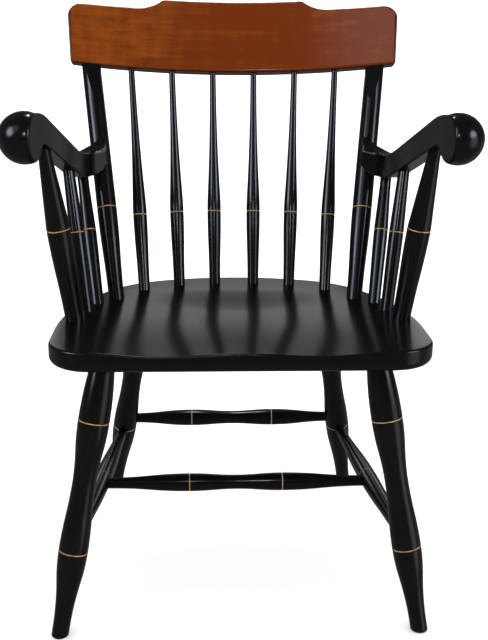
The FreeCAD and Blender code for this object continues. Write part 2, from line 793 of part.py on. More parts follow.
# Screws through the back posts into the arms' ends
SCREW_AXES = {}
screw_start = post_point(KNOB_HEIGHT - size("arm_screw_drop"))
screw_tip = arm_point(POST_ALONG - size("arm_screw_reach"), ARM_CENTRE,
                      -size("arm_screw_drop") - size("arm_screw_fall"))
for side, sign in SIDES.items():
    SCREW_AXES[side] = mirrored(screw_start, sign), mirrored(screw_tip, sign)
post_ring_radius = radius_of("post_ring_diameter")
shank = radius_of("arm_screw_shank_diameter")
plug = radius_of("screw_plug_diameter")
plug_bottom = size("screw_plug_length") - post_ring_radius
head_bottom = plug_bottom + size("arm_screw_head_height")
screws, plugs = [], []
for side, (start, tip) in SCREW_AXES.items():
    _, length = between(start, tip)
    head = cylinder(f"{side}_screw_head", radius_of("arm_screw_head_diameter"), start, tip,
                    plug_bottom + GLUE, head_bottom)
    rod = cylinder(f"{side}_screw_shank", shank, start, tip, head_bottom - GLUE, length)
    screws.append(combine("Part::MultiFuse", f"{side}_screw", [head, rod]))
    base, top = POST_AXES[side]
    _, post_length = between(base, top)
    stock = cylinder(f"{side}_plug_stock", plug, start, tip, -post_ring_radius * 2, plug_bottom)
    hull = cylinder(f"{side}_plug_hull", post_ring_radius - GLUE, base, top, as_measure(0), post_length)
    plugs.append(combine("Part::MultiCommon", f"{side}_plug", [stock, hull]))
for name, pieces in (("arm_screws", screws), ("screw_plugs", plugs)):
    group = doc.addObject("Part::Compound", name)
    group.Links = pieces
    node(group, name)

# Back posts: turned with one ring, shaved flat in front below the crest and tenoned into it
base, top = POST_AXES["left"]
_, length = between(base, top)
seat_depth = size("post_seat_depth")
lean = length / (top[2] - base[2])
flat_length = size("post_flat_length")
turning = Turning(radius_of("post_base_diameter"))
turning.straight(seat_depth, radius_of("post_base_diameter"))
turning.wave(seat_depth + size("post_ring_height") * lean - HALF_RING, post_ring_radius)
turning.ring()
turning.straight(seat_depth + length - flat_length, radius_of("post_top_diameter"))
turning.straight(seat_depth + length + size("post_tenon_length") / 2, radius_of("post_top_diameter"))
blank = turning.make("left_post_blank", axis_placement(base, top, -seat_depth))
flat_reach = post_ring_radius * 4
flat_corner = -flat_reach / 2, -flat_reach - radius_of("post_top_diameter"), as_measure(0)
to_crest_face = f"rotation(vector(0; 0; 1); asin({(POST_TOP_X / size('crest_radius')).formula}))"
into_post = f"rotation(vector(-1; 0; 0); atan({(size('post_flat_depth') / flat_length).formula}))"
flat = block("left_post_flat", flat_reach, flat_reach, flat_reach * 2,
             f"{axis_placement(base, top, length - flat_length)}"
             f" * placement(vector(0; 0; 0); {to_crest_face} * {into_post}) * {shift(flat_corner)}")
start, tip = SCREW_AXES["left"]
_, screw_length = between(start, tip)
screw_hole = cylinder("left_post_screw_hole", shank + GLUE, start, tip, -post_ring_radius, screw_length)
plug_hole = cylinder("left_post_plug_hole", plug + GLUE, start, tip,
                     -post_ring_radius * 2, head_bottom + GLUE)
shaved = cut("left_post_shaved", blank, [flat])
scribed = cut("left_post_scribed", shaved, [crest_blank])
bored = cut("left_post_bored", scribed, [screw_hole, plug_hole])
tenon = cylinder("left_post_tenon", post_tenon, base, top,
                 length - post_tenon * 2, length + size("post_tenon_length"))
left_post = combine("Part::MultiFuse", "left_back_post", [bored, tenon])
node(left_post, "left_back_post")
node(mirror_image("right_back_post", left_post), "right_back_post")

# Back spindles: slender above, swelling to one ring, bored into seat and crest
SPINDLE_TAPER_SHARE = 0.1
for number, (base, top) in enumerate(SPINDLE_AXES, start=1):
    name = f"back_spindle_{number}"
    _, length = between(base, top)
    seat_depth = size("spindle_seat_depth")
    lean = length / (top[2] - base[2])
    turning = Turning(radius_of("spindle_base_diameter"))
    turning.straight(seat_depth, radius_of("spindle_base_diameter"))
    ring_along = seat_depth + size("spindle_ring_height") * lean
    turning.wave(ring_along - HALF_RING, radius_of("spindle_ring_diameter"))
    turning.ring()
    turning.wave(seat_depth + length, spindle_top, SPINDLE_TAPER_SHARE)
    turning.straight(seat_depth + length + size("spindle_crest_depth"), spindle_top)
    node(turning.make(name, axis_placement(base, top, -seat_depth)), name)

# Arms: the plank is a side profile and a plan outline in common, with the ball joined on in front
dip_lead, dip_bend, lip_bend = size("arm_dip_lead"), size("arm_dip_radius"), size("arm_lip_radius")
dip_along = POST_ALONG - dip_lead
dip_start = dip_along - dip_bend * sine(ARM_SLOPE)
dip_up = arm_upper(dip_start) - dip_bend * (1 - cosine(ARM_SLOPE))
end_up = dip_up + lip_bend - root(lip_bend * lip_bend - dip_lead * dip_lead)
heel_drop = (NECK[1] - HEEL[1]) / (HEEL[0] - NECK[0])
heel_run = root(1 + heel_drop * heel_drop)
heel_bend = size("arm_heel_bend")
sole_along = HEEL[0] + heel_bend * heel_drop / heel_run
sole_up = HEEL[1] - heel_bend * (1 - 1 / heel_run)
round_end, round_bend = POST_ALONG - size("arm_corner_lead"), size("arm_corner_radius")
middle = as_measure(0)
crown_bend = size("arm_crown_radius")
crown_run = crown_bend * sine(ARM_SLOPE) / (1 + cosine(ARM_SLOPE))
crown_along = (arm_upper(middle) - FACE_CIRCLE) / tangent(ARM_SLOPE)
crown_end = crown_along + crown_run * cosine(ARM_SLOPE)
# The throat is an arc that touches the straight underside and the circle of the flat face
throat = size("arm_throat_radius")
below_neck = NECK[0] - throat * heel_drop / heel_run, NECK[1] - throat / heel_run
towards_heel = (below_neck[0] - below_neck[1] * heel_drop) / heel_run
below_square = below_neck[0] * below_neck[0] + below_neck[1] * below_neck[1]
throat_reach = FACE_CIRCLE + throat
throat_run = root(towards_heel * towards_heel - below_square + throat_reach * throat_reach) - towards_heel
throat_start = NECK[0] + throat_run / heel_run, NECK[1] - throat_run * heel_drop / heel_run
throat_centre = below_neck[0] + throat_run / heel_run, below_neck[1] - throat_run * heel_drop / heel_run
throat_end = tuple(part * FACE_CIRCLE / throat_reach for part in throat_centre)
profile = [(middle, FACE_CIRCLE), (crown_along - crown_run, FACE_CIRCLE), (crown_end, arm_upper(crown_end)),
           (dip_start, arm_upper(dip_start)), (dip_along, dip_up), (POST_ALONG, end_up),
           (POST_ALONG, sole_up + round_bend), (round_end, sole_up + round_bend),
           (round_end - round_bend, sole_up), (sole_along, sole_up), HEEL,
           throat_start, throat_end, (middle, throat_end[1])]
profile_arcs = {1: (crown_bend, 1), 3: (dip_bend, -1), 4: (lip_bend, -1),
                7: (round_bend, 1), 9: (heel_bend, 1), 11: (throat, -1)}
knob_centre = vector_formula(arm_point(middle, middle, middle))
toe_turn = f"rotation(vector(0; 0; 1); {size('arm_toe_in').formula} * 1 deg)"
sideways = "rotation(vector(1; 1; 1); 120 deg)"
side_plank = extrusion("arm_profile", profile, profile_arcs,
                       f"placement({knob_centre}; {toe_turn} * {sideways})",
                       size("knob_radius") * 2, size("knob_radius") * 3)
hook_shift = ARM_CENTRE - POST_ACROSS
hook_bend = size("arm_hook_bend")
hook_sine, hook_cosine = sine(size("arm_hook_turn")), cosine(size("arm_hook_turn"))
hook_run = (hook_shift - hook_bend * (1 - hook_cosine)) / hook_sine
hook_along = POST_ALONG - post_ring_radius - hook_bend * hook_sine - hook_run * hook_cosine
inner_bend = hook_bend - size("arm_thickness") / 2
outer_bend = hook_bend + size("arm_thickness") / 2


def hook_corner(bend, beyond):
    """A corner of the hook's end, or of its straight run beyond that."""
    across = ARM_CENTRE - hook_bend + bend * hook_cosine - beyond * hook_sine
    return across, hook_along + bend * hook_sine + beyond * hook_cosine


into_cope = hook_run + post_ring_radius
plan = [(ARM_INNER, middle), (ARM_OUTER, middle), (ARM_OUTER, hook_along),
        hook_corner(outer_bend, middle), hook_corner(outer_bend, into_cope),
        hook_corner(inner_bend, into_cope), hook_corner(inner_bend, middle), (ARM_INNER, hook_along)]
knob_height = size("knob_radius")
plan_plank = extrusion("arm_plan", plan, {2: (outer_bend, -1), 6: (inner_bend, 1)},
                       f"placement({knob_centre}; {toe_turn})", knob_height * 2, knob_height * 5)
plank = combine("Part::MultiCommon", "arm_plank", [side_plank, plan_plank])
ball = doc.addObject("Part::Sphere", "arm_ball")
bind(ball, Radius=size("knob_radius"))
place(ball, f"placement({knob_centre}; {toe_turn})")
reach = size("knob_radius") * 3
face_corner = ARM_INNER - reach, -reach / 2, -reach / 2
face_block = block("arm_face_block", reach, reach, reach,
                   f"placement({knob_centre}; {toe_turn}) * {shift(face_corner)}")
knob = cut("arm_knob", ball, [face_block])
arm_blank = combine("Part::MultiFuse", "arm_blank", [plank, knob])
arm_tools = []
for piece in ("arm_post", "front_arm_spindle", "rear_arm_spindle"):
    family = FAMILY[piece]
    base, top = ARM_TURNING_AXES[piece, "right"]
    _, length = between(base, top)
    arm_tools.append(cylinder(f"{piece}_arm_socket", radius_of(f"{family}_top_diameter") + GLUE, base, top,
                              length - OVERRUN, length + size(f"{family}_arm_depth") + END_GAP))
base, top = POST_AXES["right"]
_, length = between(base, top)
arm_tools.append(cylinder("arm_cope", post_ring_radius + GLUE, base, top, as_measure(0), length))
reach = size("knob_radius") * 4
behind_corner = -reach / 2, size("arm_cope_depth") - post_ring_radius, as_measure(0)
arm_tools.append(block("arm_end_block", reach, reach, length,
                       f"{axis_placement(base, top, as_measure(0))} * {shift(behind_corner)}"))
inner_corner = -reach - size("arm_end_reach"), -reach, as_measure(0)
arm_tools.append(block("arm_end_trim", reach, reach * 2, length,
                       f"{axis_placement(base, top, as_measure(0))} * {shift(inner_corner)}"))
start, tip = SCREW_AXES["right"]
_, length = between(start, tip)
arm_tools.append(cylinder("arm_screw_pilot", shank + GLUE, start, tip, as_measure(0), length + END_GAP))
right_arm = cut("right_arm", arm_blank, arm_tools)
node(mirror_image("left_arm", right_arm), "left_arm")
node(right_arm, "right_arm")

# Arm posts and arm spindles: turned with one ring, bored into seat and arm
for (piece, side), (base, top) in ARM_TURNING_AXES.items():
    family = FAMILY[piece]
    name = f"{side}_{piece}"
    _, length = between(base, top)
    seat_depth = size(f"{family}_seat_depth")
    lean = length / (top[2] - base[2])
    turning = Turning(radius_of(f"{family}_base_diameter"))
    turning.straight(seat_depth, radius_of(f"{family}_base_diameter"))
    ring_along = seat_depth + size(f"{piece}_ring_height") * lean
    turning.wave(ring_along - HALF_RING, radius_of(f"{family}_ring_diameter"))
    turning.ring()
    turning.straight(seat_depth + length - size("arm_turning_shoulder"), radius_of(f"{family}_top_diameter"))
    turning.straight(seat_depth + length + size(f"{family}_arm_depth"), radius_of(f"{family}_top_diameter"))
    node(turning.make(name, axis_placement(base, top, -seat_depth)), name)

doc.recompute()

faults = [feature.Label for feature in doc.Objects if {"Invalid", "Error"} & set(feature.State)]
faults += [feature.Label for feature in NODES if feature.Shape.isNull() or not feature.Shape.isValid()]
if faults:
    raise RuntimeError("failed: " + ", ".join(faults))

os.makedirs("parts", exist_ok=True)
for feature in NODES:
    feature.Shape.exportStep(f"parts/{feature.Label}.step")
whole = Part.makeCompound([feature.Shape for feature in NODES]).optimalBoundingBox()
print(f"{len(NODES)} nodes, box {whole.XLength:.1f} x {whole.YLength:.1f} x {whole.ZLength:.1f}, "
      f"y {whole.YMin:.2f} to {whole.YMax:.2f}, z {whole.ZMin:.3f} to {whole.ZMax:.1f}")
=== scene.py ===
import math

import bmesh
import bpy
from mathutils import Matrix, Vector


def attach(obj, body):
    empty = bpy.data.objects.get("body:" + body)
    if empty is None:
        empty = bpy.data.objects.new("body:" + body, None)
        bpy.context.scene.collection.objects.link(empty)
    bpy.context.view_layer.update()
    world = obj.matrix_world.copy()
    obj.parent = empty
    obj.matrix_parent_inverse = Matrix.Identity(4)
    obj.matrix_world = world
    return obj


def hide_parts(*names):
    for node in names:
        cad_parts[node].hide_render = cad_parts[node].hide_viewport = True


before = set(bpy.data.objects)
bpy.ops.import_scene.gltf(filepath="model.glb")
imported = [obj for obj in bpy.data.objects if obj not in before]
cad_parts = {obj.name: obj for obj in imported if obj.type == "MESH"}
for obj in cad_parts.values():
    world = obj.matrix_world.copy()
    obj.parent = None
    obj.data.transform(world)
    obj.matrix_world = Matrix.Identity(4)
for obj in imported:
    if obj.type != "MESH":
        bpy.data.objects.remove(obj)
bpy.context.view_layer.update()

# Seat: one thick plank of hardwood sawn to a shield outline, its top saddled to a bowl with two thigh scoops
# that leave a low pommel in front. The edges are eased by hand, and the plank is sprayed with black satin
# lacquer, which sitters have rubbed thin towards the front.
FRONT_REACH = 0.2787
SEAT_TOP = 0.432
SEAT_THICKNESS = 0.030
SEAT_HALF_WIDTH = 0.265
SEAT_DEPTH = 0.4295
SEAT_CORNER_RADIUS = 0.060
SEAT_REAR_RADIUS, SEAT_REAR_TURN = 0.355, math.radians(20)
SEAT_HIP_RADIUS, SEAT_HIP_TURN = 0.161, math.radians(59.6)
SEAT_LOWER_EDGE, SEAT_UPPER_EDGE = 0.011, 0.0035
SEAT_OUTLINE_STEP = 0.009
SEAT_RINGS = 30
TOUCHING, MIRROR_GAP = 1e-6, 1e-5
SADDLE_DEPTH, SADDLE_DEEPEST, SADDLE_FRONT_RUN = 0.011, 0.235, 0.317
SADDLE_SIDE_RIM, SADDLE_REAR_RIM = 0.050, 0.0775
SCOOP_DEPTH, SCOOP_CENTRE, SCOOP_HALF_WIDTH, SCOOP_REACH = 0.005, 0.113, 0.100, 0.210
POMMEL_DROP = 0.0003
LACQUER_BLACK, LACQUER_THIN = (0.0020, 0.0020, 0.0021, 1), (0.0045, 0.0042, 0.0040, 1)
LACQUER_GRAIN_ALONG, LACQUER_GRAIN_ACROSS = 26.0, 620.0
LACQUER_CLOUDS, LACQUER_RIPPLES = 14.0, 330.0
PORES_START, PORES_FULL = 0.35, 0.75
LACQUER_DULLNESS, CLOUD_DULLNESS, PORE_DULLNESS, LACQUER_IOR = 0.13, 0.04, 0.03, 1.48
LACQUER_BUMP, LACQUER_BUMP_HEIGHT, RIPPLE_SHARE = 0.10, 0.0004, 0.5
SEAT_DULLNESS, RUBBED_LOSS = 0.20, 0.48
RUBBED_FRONT, RUBBED_REAR = -0.23, -0.05
RUBBED_HALF_WIDTH, RUBBED_END = 0.18, 0.25
RUBBED_LOW, RUBBED_HIGH = 0.412, 0.420
POMMEL_EDGE_BROWN = (0.024, 0.011, 0.006, 1)
BROWN_EDGE_HALF_WIDTH, BROWN_EDGE_END = 0.010, 0.040
BROWN_EDGE_FRONT, BROWN_EDGE_REAR = -0.2780, -0.2755
BROWN_EDGE_LOW, BROWN_EDGE_HIGH = 0.4255, 0.4285
BROWN_EDGE_PATCHES, BROWN_EDGE_PATCH_START, BROWN_EDGE_PATCH_FULL = 160.0, 0.42, 0.62


class Wire:
    """An output in a node tree; sums on wires add Math nodes, and node() adds any other node."""

    def __init__(self, tree, socket=None):
        self.tree, self.socket = tree, socket

    def node(self, kind, settings=None, inputs=None, output=0):
        made = self.tree.nodes.new(kind)
        for name, value in (settings or {}).items():
            if name == "stops":
                for stop, (place, colour) in zip(made.color_ramp.elements, value):
                    stop.position, stop.color = place, colour
            else:
                setattr(made, name, value)
        for name, value in (inputs or {}).items():
            if isinstance(value, Wire):
                self.tree.links.new(value.socket, made.inputs[name])
            else:
                made.inputs[name].default_value = value
        return Wire(self.tree, made.outputs[output] if made.outputs else None)

    def math(self, operation, first, second=0.0):
        return self.node("ShaderNodeMath", {"operation": operation}, {0: first, 1: second})

    def __add__(self, other):
        return self.math("ADD", self, other)

    def __sub__(self, other):
        return self.math("SUBTRACT", self, other)

    def __rsub__(self, other):
        return self.math("SUBTRACT", other, self)

    def __mul__(self, other):
        return self.math("MULTIPLY", self, other)

    def __abs__(self):
        return self.math("ABSOLUTE", self)

    __radd__, __rmul__ = __add__, __mul__

    def fade(self, start, end):
        """Goes smoothly from 0 at start to 1 at end."""
        return self.node("ShaderNodeMapRange", {"interpolation_type": "SMOOTHSTEP"},
                         {"Value": self, "From Min": start, "From Max": end})

    def blend(self, first, second):
        """A colour between two, by this wire."""
        return self.node("ShaderNodeMix", {"data_type": "RGBA"}, {0: self, 6: first, 7: second}, output=2)


def new_finish(name):
    """An empty material, and the place on the chair as a wire to build its nodes from."""
    finish = bpy.data.materials.new(name)
    finish.use_nodes = True
    finish.node_tree.nodes.clear()
    start = Wire(finish.node_tree)
    return finish, start.node("ShaderNodeTexCoord", output="Object")


def noise(place, scale=1.0, detail=2.0, stretch=(1, 1, 1), turn=(0, 0, 0)):
    """A cloud of values from 0 to 1; scale, or stretch along each axis, counts its lumps in a metre."""
    turned = place.node("ShaderNodeMapping", {}, {"Vector": place, "Rotation": turn, "Scale": stretch})
    return place.node("ShaderNodeTexNoise", {}, {"Vector": turned, "Scale": scale, "Detail": detail})


def along_axes(place):
    """The x, y and z of a place, as wires."""
    split = place.node("ShaderNodeSeparateXYZ", {}, {0: place})
    return [Wire(split.tree, socket) for socket in split.socket.node.outputs]


def lacquer(name, grain, brown_edge_and_wear=None):
    """Black satin lacquer: grain just showing through, an uneven sheen, and, where given, a patchy brown line
    on an edge and a top coat rubbed thin.
    """
    finish, place = new_finish(name)
    pores = noise(place, detail=3.0, stretch=grain)
    cloud = noise(place, LACQUER_CLOUDS)
    ripple = noise(place, LACQUER_RIPPLES, detail=1.0)
    colour = (pores.fade(PORES_START, PORES_FULL) * cloud).blend(LACQUER_BLACK, LACQUER_THIN)
    sheen = LACQUER_DULLNESS + CLOUD_DULLNESS * cloud + PORE_DULLNESS * pores
    gloss = {"Roughness": sheen, "IOR": LACQUER_IOR}
    if brown_edge_and_wear:
        brown_edge, rubbed = brown_edge_and_wear(place)
        # A thin, patchy brown line is painted on the pommel's front top edge.
        colour = brown_edge.blend(colour, POMMEL_EDGE_BROWN)
        gloss = {"Specular IOR Level": 0.0, "Coat Weight": 1 - RUBBED_LOSS * rubbed,
                 "Coat Roughness": SEAT_DULLNESS, "Coat IOR": LACQUER_IOR}
    bump = place.node("ShaderNodeBump", {}, {
        "Strength": LACQUER_BUMP, "Distance": LACQUER_BUMP_HEIGHT, "Height": pores + RIPPLE_SHARE * ripple})
    surface = place.node("ShaderNodeBsdfPrincipled", {}, {"Base Color": colour, "Normal": bump, **gloss})
    place.node("ShaderNodeOutputMaterial", {}, {"Surface": surface})
    return finish


def seat_brown_edge_and_wear(place):
    """Where the pommel's front top edge is painted brown in patches, and how far sitters have rubbed the top
    coat thin.
    """
    x, y, z = along_axes(place)
    # A thin, patchy brown line along the front top edge of the pommel.
    brown_edge = (1 - abs(x).fade(BROWN_EDGE_HALF_WIDTH, BROWN_EDGE_END)) * (1 - y.fade(BROWN_EDGE_FRONT, BROWN_EDGE_REAR))
    brown_edge *= z.fade(BROWN_EDGE_LOW, BROWN_EDGE_HIGH) * noise(place, BROWN_EDGE_PATCHES).fade(BROWN_EDGE_PATCH_START, BROWN_EDGE_PATCH_FULL)
    rubbed = (1 - abs(x).fade(RUBBED_HALF_WIDTH, RUBBED_END)) * (1 - y.fade(RUBBED_FRONT, RUBBED_REAR))
    return brown_edge, rubbed * z.fade(RUBBED_LOW, RUBBED_HIGH)


upright_grain = LACQUER_GRAIN_ACROSS, LACQUER_GRAIN_ACROSS, LACQUER_GRAIN_ALONG
lengthways_grain = LACQUER_GRAIN_ACROSS, LACQUER_GRAIN_ALONG, LACQUER_GRAIN_ACROSS
crossways_grain = LACQUER_GRAIN_ALONG, LACQUER_GRAIN_ACROSS, LACQUER_GRAIN_ACROSS
upright_lacquer = lacquer("black_lacquer_upright", upright_grain)
lengthways_lacquer = lacquer("black_lacquer_lengthways", lengthways_grain)
crossways_lacquer = lacquer("black_lacquer_crossways", crossways_grain)
seat_lacquer = lacquer("black_lacquer_seat", lengthways_grain, seat_brown_edge_and_wear)


def line_to(shape, start, place):
    """Draws an edge from a vertex to a new place, and returns its far vertex."""
    far = bmesh.ops.extrude_vert_indiv(shape, verts=[start])["verts"][0]
    far.co = place
    return far


def arc_to(shape, start, centre, axis, angle, steps):
    """Swings a vertex round a centre, and returns the arc's far vertex."""
    swung = bmesh.ops.spin(shape, geom=[start], cent=centre, axis=axis, angle=angle, steps=steps)
    return next(item for item in swung["geom_last"] if isinstance(item, bmesh.types.BMVert))


def close_outline(shape, depth):
    """Fills the drawn outline and makes a plank of it, as thick as the vector depth."""
    bmesh.ops.remove_doubles(shape, verts=shape.verts, dist=TOUCHING)
    bmesh.ops.contextual_create(shape, geom=shape.edges[:])
    pushed = bmesh.ops.extrude_face_region(shape, geom=shape.faces[:])["geom"]
    far_side = [item for item in pushed if isinstance(item, bmesh.types.BMVert)]
    bmesh.ops.translate(shape, vec=depth, verts=far_side)
    bmesh.ops.recalc_face_normals(shape, faces=shape.faces)


def ease(shape, edges, radius, segments):
    """Rounds edges over."""
    bmesh.ops.bevel(shape, geom=edges, offset=radius, segments=segments, profile=0.5, affect="EDGES",
                    material=-1, clamp_overlap=True)


def finished(name, shape, finish, slot, *replaced):
    """Makes a piece of the chair from its shape."""
    mesh = bpy.data.meshes.new(name)
    shape.to_mesh(mesh)
    shape.free()
    mesh.materials.append(finish)
    mesh.shade_smooth()
    piece = bpy.data.objects.new(name, mesh)
    bpy.context.scene.collection.objects.link(piece)
    piece.modifiers.new("flat_faces_stay_flat", "WEIGHTED_NORMAL").keep_sharp = True
    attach(piece, "root")
    if replaced:
        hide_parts(*replaced)
    return piece


def hump(distance):
    """A smooth bump: 1 in the middle, 0 and level at a distance of 1."""
    return max(0.0, 1 - distance * distance) ** 2


def saddle(x, set_back):
    """How far the saddled top lies below the rim."""
    if set_back > SADDLE_DEEPEST:
        rear_run = SEAT_DEPTH - SADDLE_REAR_RIM - SADDLE_DEEPEST
        bowl = SADDLE_DEPTH * hump((set_back - SADDLE_DEEPEST) / rear_run)
    else:
        rise = hump((SADDLE_DEEPEST - set_back) / SADDLE_FRONT_RUN)
        bowl = POMMEL_DROP + (SADDLE_DEPTH - POMMEL_DROP) * rise
    bowl *= hump(x / (SEAT_HALF_WIDTH - SADDLE_SIDE_RIM))
    beside = (abs(x) - SCOOP_CENTRE) / SCOOP_HALF_WIDTH
    return bowl + SCOOP_DEPTH * hump(beside) * hump(max(set_back, 0.0) / SCOOP_REACH)


UP = Vector((0, 0, 1))
seat_underside = SEAT_TOP - SEAT_THICKNESS
rear_centre = Vector((0, SEAT_DEPTH - FRONT_REACH - SEAT_REAR_RADIUS, seat_underside))
rear_way = Vector((math.sin(SEAT_REAR_TURN), math.cos(SEAT_REAR_TURN), 0))
hip_way = Vector((math.sin(SEAT_HIP_TURN), math.cos(SEAT_HIP_TURN), 0))
hip_centre = rear_centre + rear_way * (SEAT_REAR_RADIUS - SEAT_HIP_RADIUS)
hip = hip_centre + hip_way * SEAT_HIP_RADIUS
side_radius = (SEAT_HALF_WIDTH - hip.x) / (1 - hip_way.x)
side_centre = hip - hip_way * side_radius
seat = bmesh.new()
pen = seat.verts.new((0, -FRONT_REACH, seat_underside))
pen = line_to(seat, pen, (SEAT_HALF_WIDTH - SEAT_CORNER_RADIUS, -FRONT_REACH, seat_underside))
corner_centre = pen.co + Vector((0, SEAT_CORNER_RADIUS, 0))
pen = arc_to(seat, pen, corner_centre, UP, math.pi / 2, steps=14)
pen = line_to(seat, pen, (SEAT_HALF_WIDTH, side_centre.y, seat_underside))
pen = arc_to(seat, pen, side_centre, UP, math.pi / 2 - SEAT_HIP_TURN, steps=24)
pen = arc_to(seat, pen, hip_centre, UP, SEAT_HIP_TURN - SEAT_REAR_TURN, steps=14)
pen = arc_to(seat, pen, rear_centre, UP, SEAT_REAR_TURN, steps=12)
for edge in [edge for edge in seat.edges if edge.calc_length() > 2 * SEAT_OUTLINE_STEP]:
    bmesh.ops.subdivide_edges(seat, edges=[edge], cuts=int(edge.calc_length() / SEAT_OUTLINE_STEP))
bmesh.ops.mirror(seat, geom=seat.verts[:] + seat.edges[:], axis="X", merge_dist=MIRROR_GAP)
close_outline(seat, UP * SEAT_THICKNESS)
for height, radius in ((seat_underside, SEAT_LOWER_EDGE), (SEAT_TOP, SEAT_UPPER_EDGE)):
    rim = [edge for edge in seat.edges if all(abs(vert.co.z - height) < TOUCHING for vert in edge.verts)]
    ease(seat, rim, radius, segments=5)
top = max(seat.faces, key=lambda face: face.calc_area() * face.normal.z)
bowl_middle = Matrix.Translation((0, FRONT_REACH - SADDLE_DEEPEST, 0))
for ring in range(SEAT_RINGS - 1, 0, -1):
    pushed = bmesh.ops.extrude_face_region(seat, geom=[top])["geom"]
    seat.faces.remove(top)
    top = next(item for item in pushed if isinstance(item, bmesh.types.BMFace))
    shrink = ring / (ring + 1)
    bmesh.ops.scale(seat, vec=(shrink, shrink, 1), space=bowl_middle, verts=top.verts)
bmesh.ops.poke(seat, faces=[top])
for vert in seat.verts:
    share = (vert.co.z - seat_underside) / SEAT_THICKNESS
    vert.co.z -= share * saddle(vert.co.x, vert.co.y + FRONT_REACH)
finished("saddled_seat", seat, seat_lacquer, "black_lacquer", "seat")

# Legs and stretchers: turned hardwood, bored and glued into the seat and into each other. Each swelling has a
# scored ring that is lined with gold paint by brush, so the line is a little uneven.
GOLD_BRIGHT, GOLD_DULL = (0.62, 0.36, 0.115, 1), (0.30, 0.155, 0.045, 1)
GOLD_PATCHES, GOLD_FLECKS = 260.0, 2600.0
GOLD_PATCH_START, GOLD_PATCH_FULL = 0.30, 0.70
GOLD_DULLNESS, FLECK_DULLNESS, GOLD_METAL = 0.38, 0.2, 0.35
GOLD_BUMP, GOLD_BUMP_HEIGHT = 0.2, 0.0002
RING_DEPTH, RING_WIDTH, RING_FACETS = 0.0009, 0.0024, 56
PAINT_RISE, PAINT_ROOT = 0.0006, 0.0001
LEG_TOP_X, LEG_TOP_SET_BACK = {"front": 0.191, "rear": 0.151}, {"front": 0.067, "rear": 0.379}
LEG_FOOT_X, LEG_FOOT_SET_BACK = {"front": 0.261, "rear": 0.219}, {"front": 0.019, "rear": 0.5454}
LEG_UPPER_RING_DROP, LEG_UPPER_RING_RADIUS = 0.089, 0.0223
LEG_LOWER_RING_DROP, LEG_LOWER_RING_RADIUS = {"front": 0.2815, "rear": 0.285}, 0.021
STRETCHER_RING_RADIUS = 0.0145
SIDE_STRETCHER_HEIGHT = {"front": 0.134, "rear": 0.134}
REAR_STRETCHER_HEIGHT, REAR_STRETCHER_RING_X = 0.156, 0.0725
CENTRE_STRETCHER_SET_BACK, CENTRE_STRETCHER_RING_X = 0.246, 0.075
SIDES = {"left": -1, "right": 1}


def gold_paint():
    """Bronze powder paint: warm, half metallic, brushed on unevenly."""
    finish, place = new_finish("gold_paint")
    patchy = noise(place, GOLD_PATCHES, detail=3.0)
    fleck = noise(place, GOLD_FLECKS, detail=1.0)
    colour = patchy.fade(GOLD_PATCH_START, GOLD_PATCH_FULL).blend(GOLD_DULL, GOLD_BRIGHT)
    sheen = GOLD_DULLNESS + FLECK_DULLNESS * fleck
    bump = place.node("ShaderNodeBump", {}, {
        "Strength": GOLD_BUMP, "Distance": GOLD_BUMP_HEIGHT, "Height": fleck})
    surface = place.node("ShaderNodeBsdfPrincipled", {}, {
        "Base Color": colour, "Roughness": sheen, "Metallic": GOLD_METAL, "Normal": bump})
    place.node("ShaderNodeOutputMaterial", {}, {"Surface": surface})
    return finish


gold = gold_paint()


def chair_point(x, set_back, height):
    """A point from its sideways place, its distance behind the seat's front and its height."""
    return Vector((x, set_back - FRONT_REACH, height))


def line_ring(shape, start, end, distance, radius):
    """Adds the paint in one scored ring: its distance along a turning, and the wood's radius there."""
    axis = (end - start).normalized()
    centre = start + axis * distance
    outwards = axis.orthogonal().normalized()
    half_width = RING_WIDTH / 2 * PAINT_RISE / RING_DEPTH
    bottom = radius - RING_DEPTH
    section = [shape.verts.new(centre + outwards * (bottom + rise) + axis * aside)
               for rise, aside in ((-PAINT_ROOT, 0), (PAINT_RISE, -half_width), (PAINT_RISE, half_width))]
    edges = [shape.edges.new((section[corner - 1], section[corner])) for corner in range(3)]
    bmesh.ops.spin(shape, geom=section + edges, cent=centre, axis=axis, angle=math.tau, steps=RING_FACETS,
                   use_merge=True)


def gold_lines(name, rings):
    """The gold lines of one family of turnings, as one piece."""
    shape = bmesh.new()
    for ring in rings:
        line_ring(shape, *ring)
    bmesh.ops.remove_doubles(shape, verts=shape.verts, dist=TOUCHING)
    bmesh.ops.recalc_face_normals(shape, faces=shape.faces)
    finished(name, shape, gold, "black_lacquer")


def dress(finish, *names):
    """Gives CAD nodes their finish."""
    for name in names:
        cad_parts[name].material_slots[0].material = finish


leg_axes, leg_rings = {}, []
for end in ("front", "rear"):
    for side, sign in SIDES.items():
        foot = chair_point(sign * LEG_FOOT_X[end], LEG_FOOT_SET_BACK[end], 0)
        head = chair_point(sign * LEG_TOP_X[end], LEG_TOP_SET_BACK[end], seat_underside)
        leg_axes[end, side] = foot, head
        leg_rings.append((head, foot, LEG_UPPER_RING_DROP, LEG_UPPER_RING_RADIUS))
        leg_rings.append((head, foot, LEG_LOWER_RING_DROP[end], LEG_LOWER_RING_RADIUS))
        dress(upright_lacquer, f"{end}_{side}_leg")
gold_lines("leg_gold_lines", leg_rings)

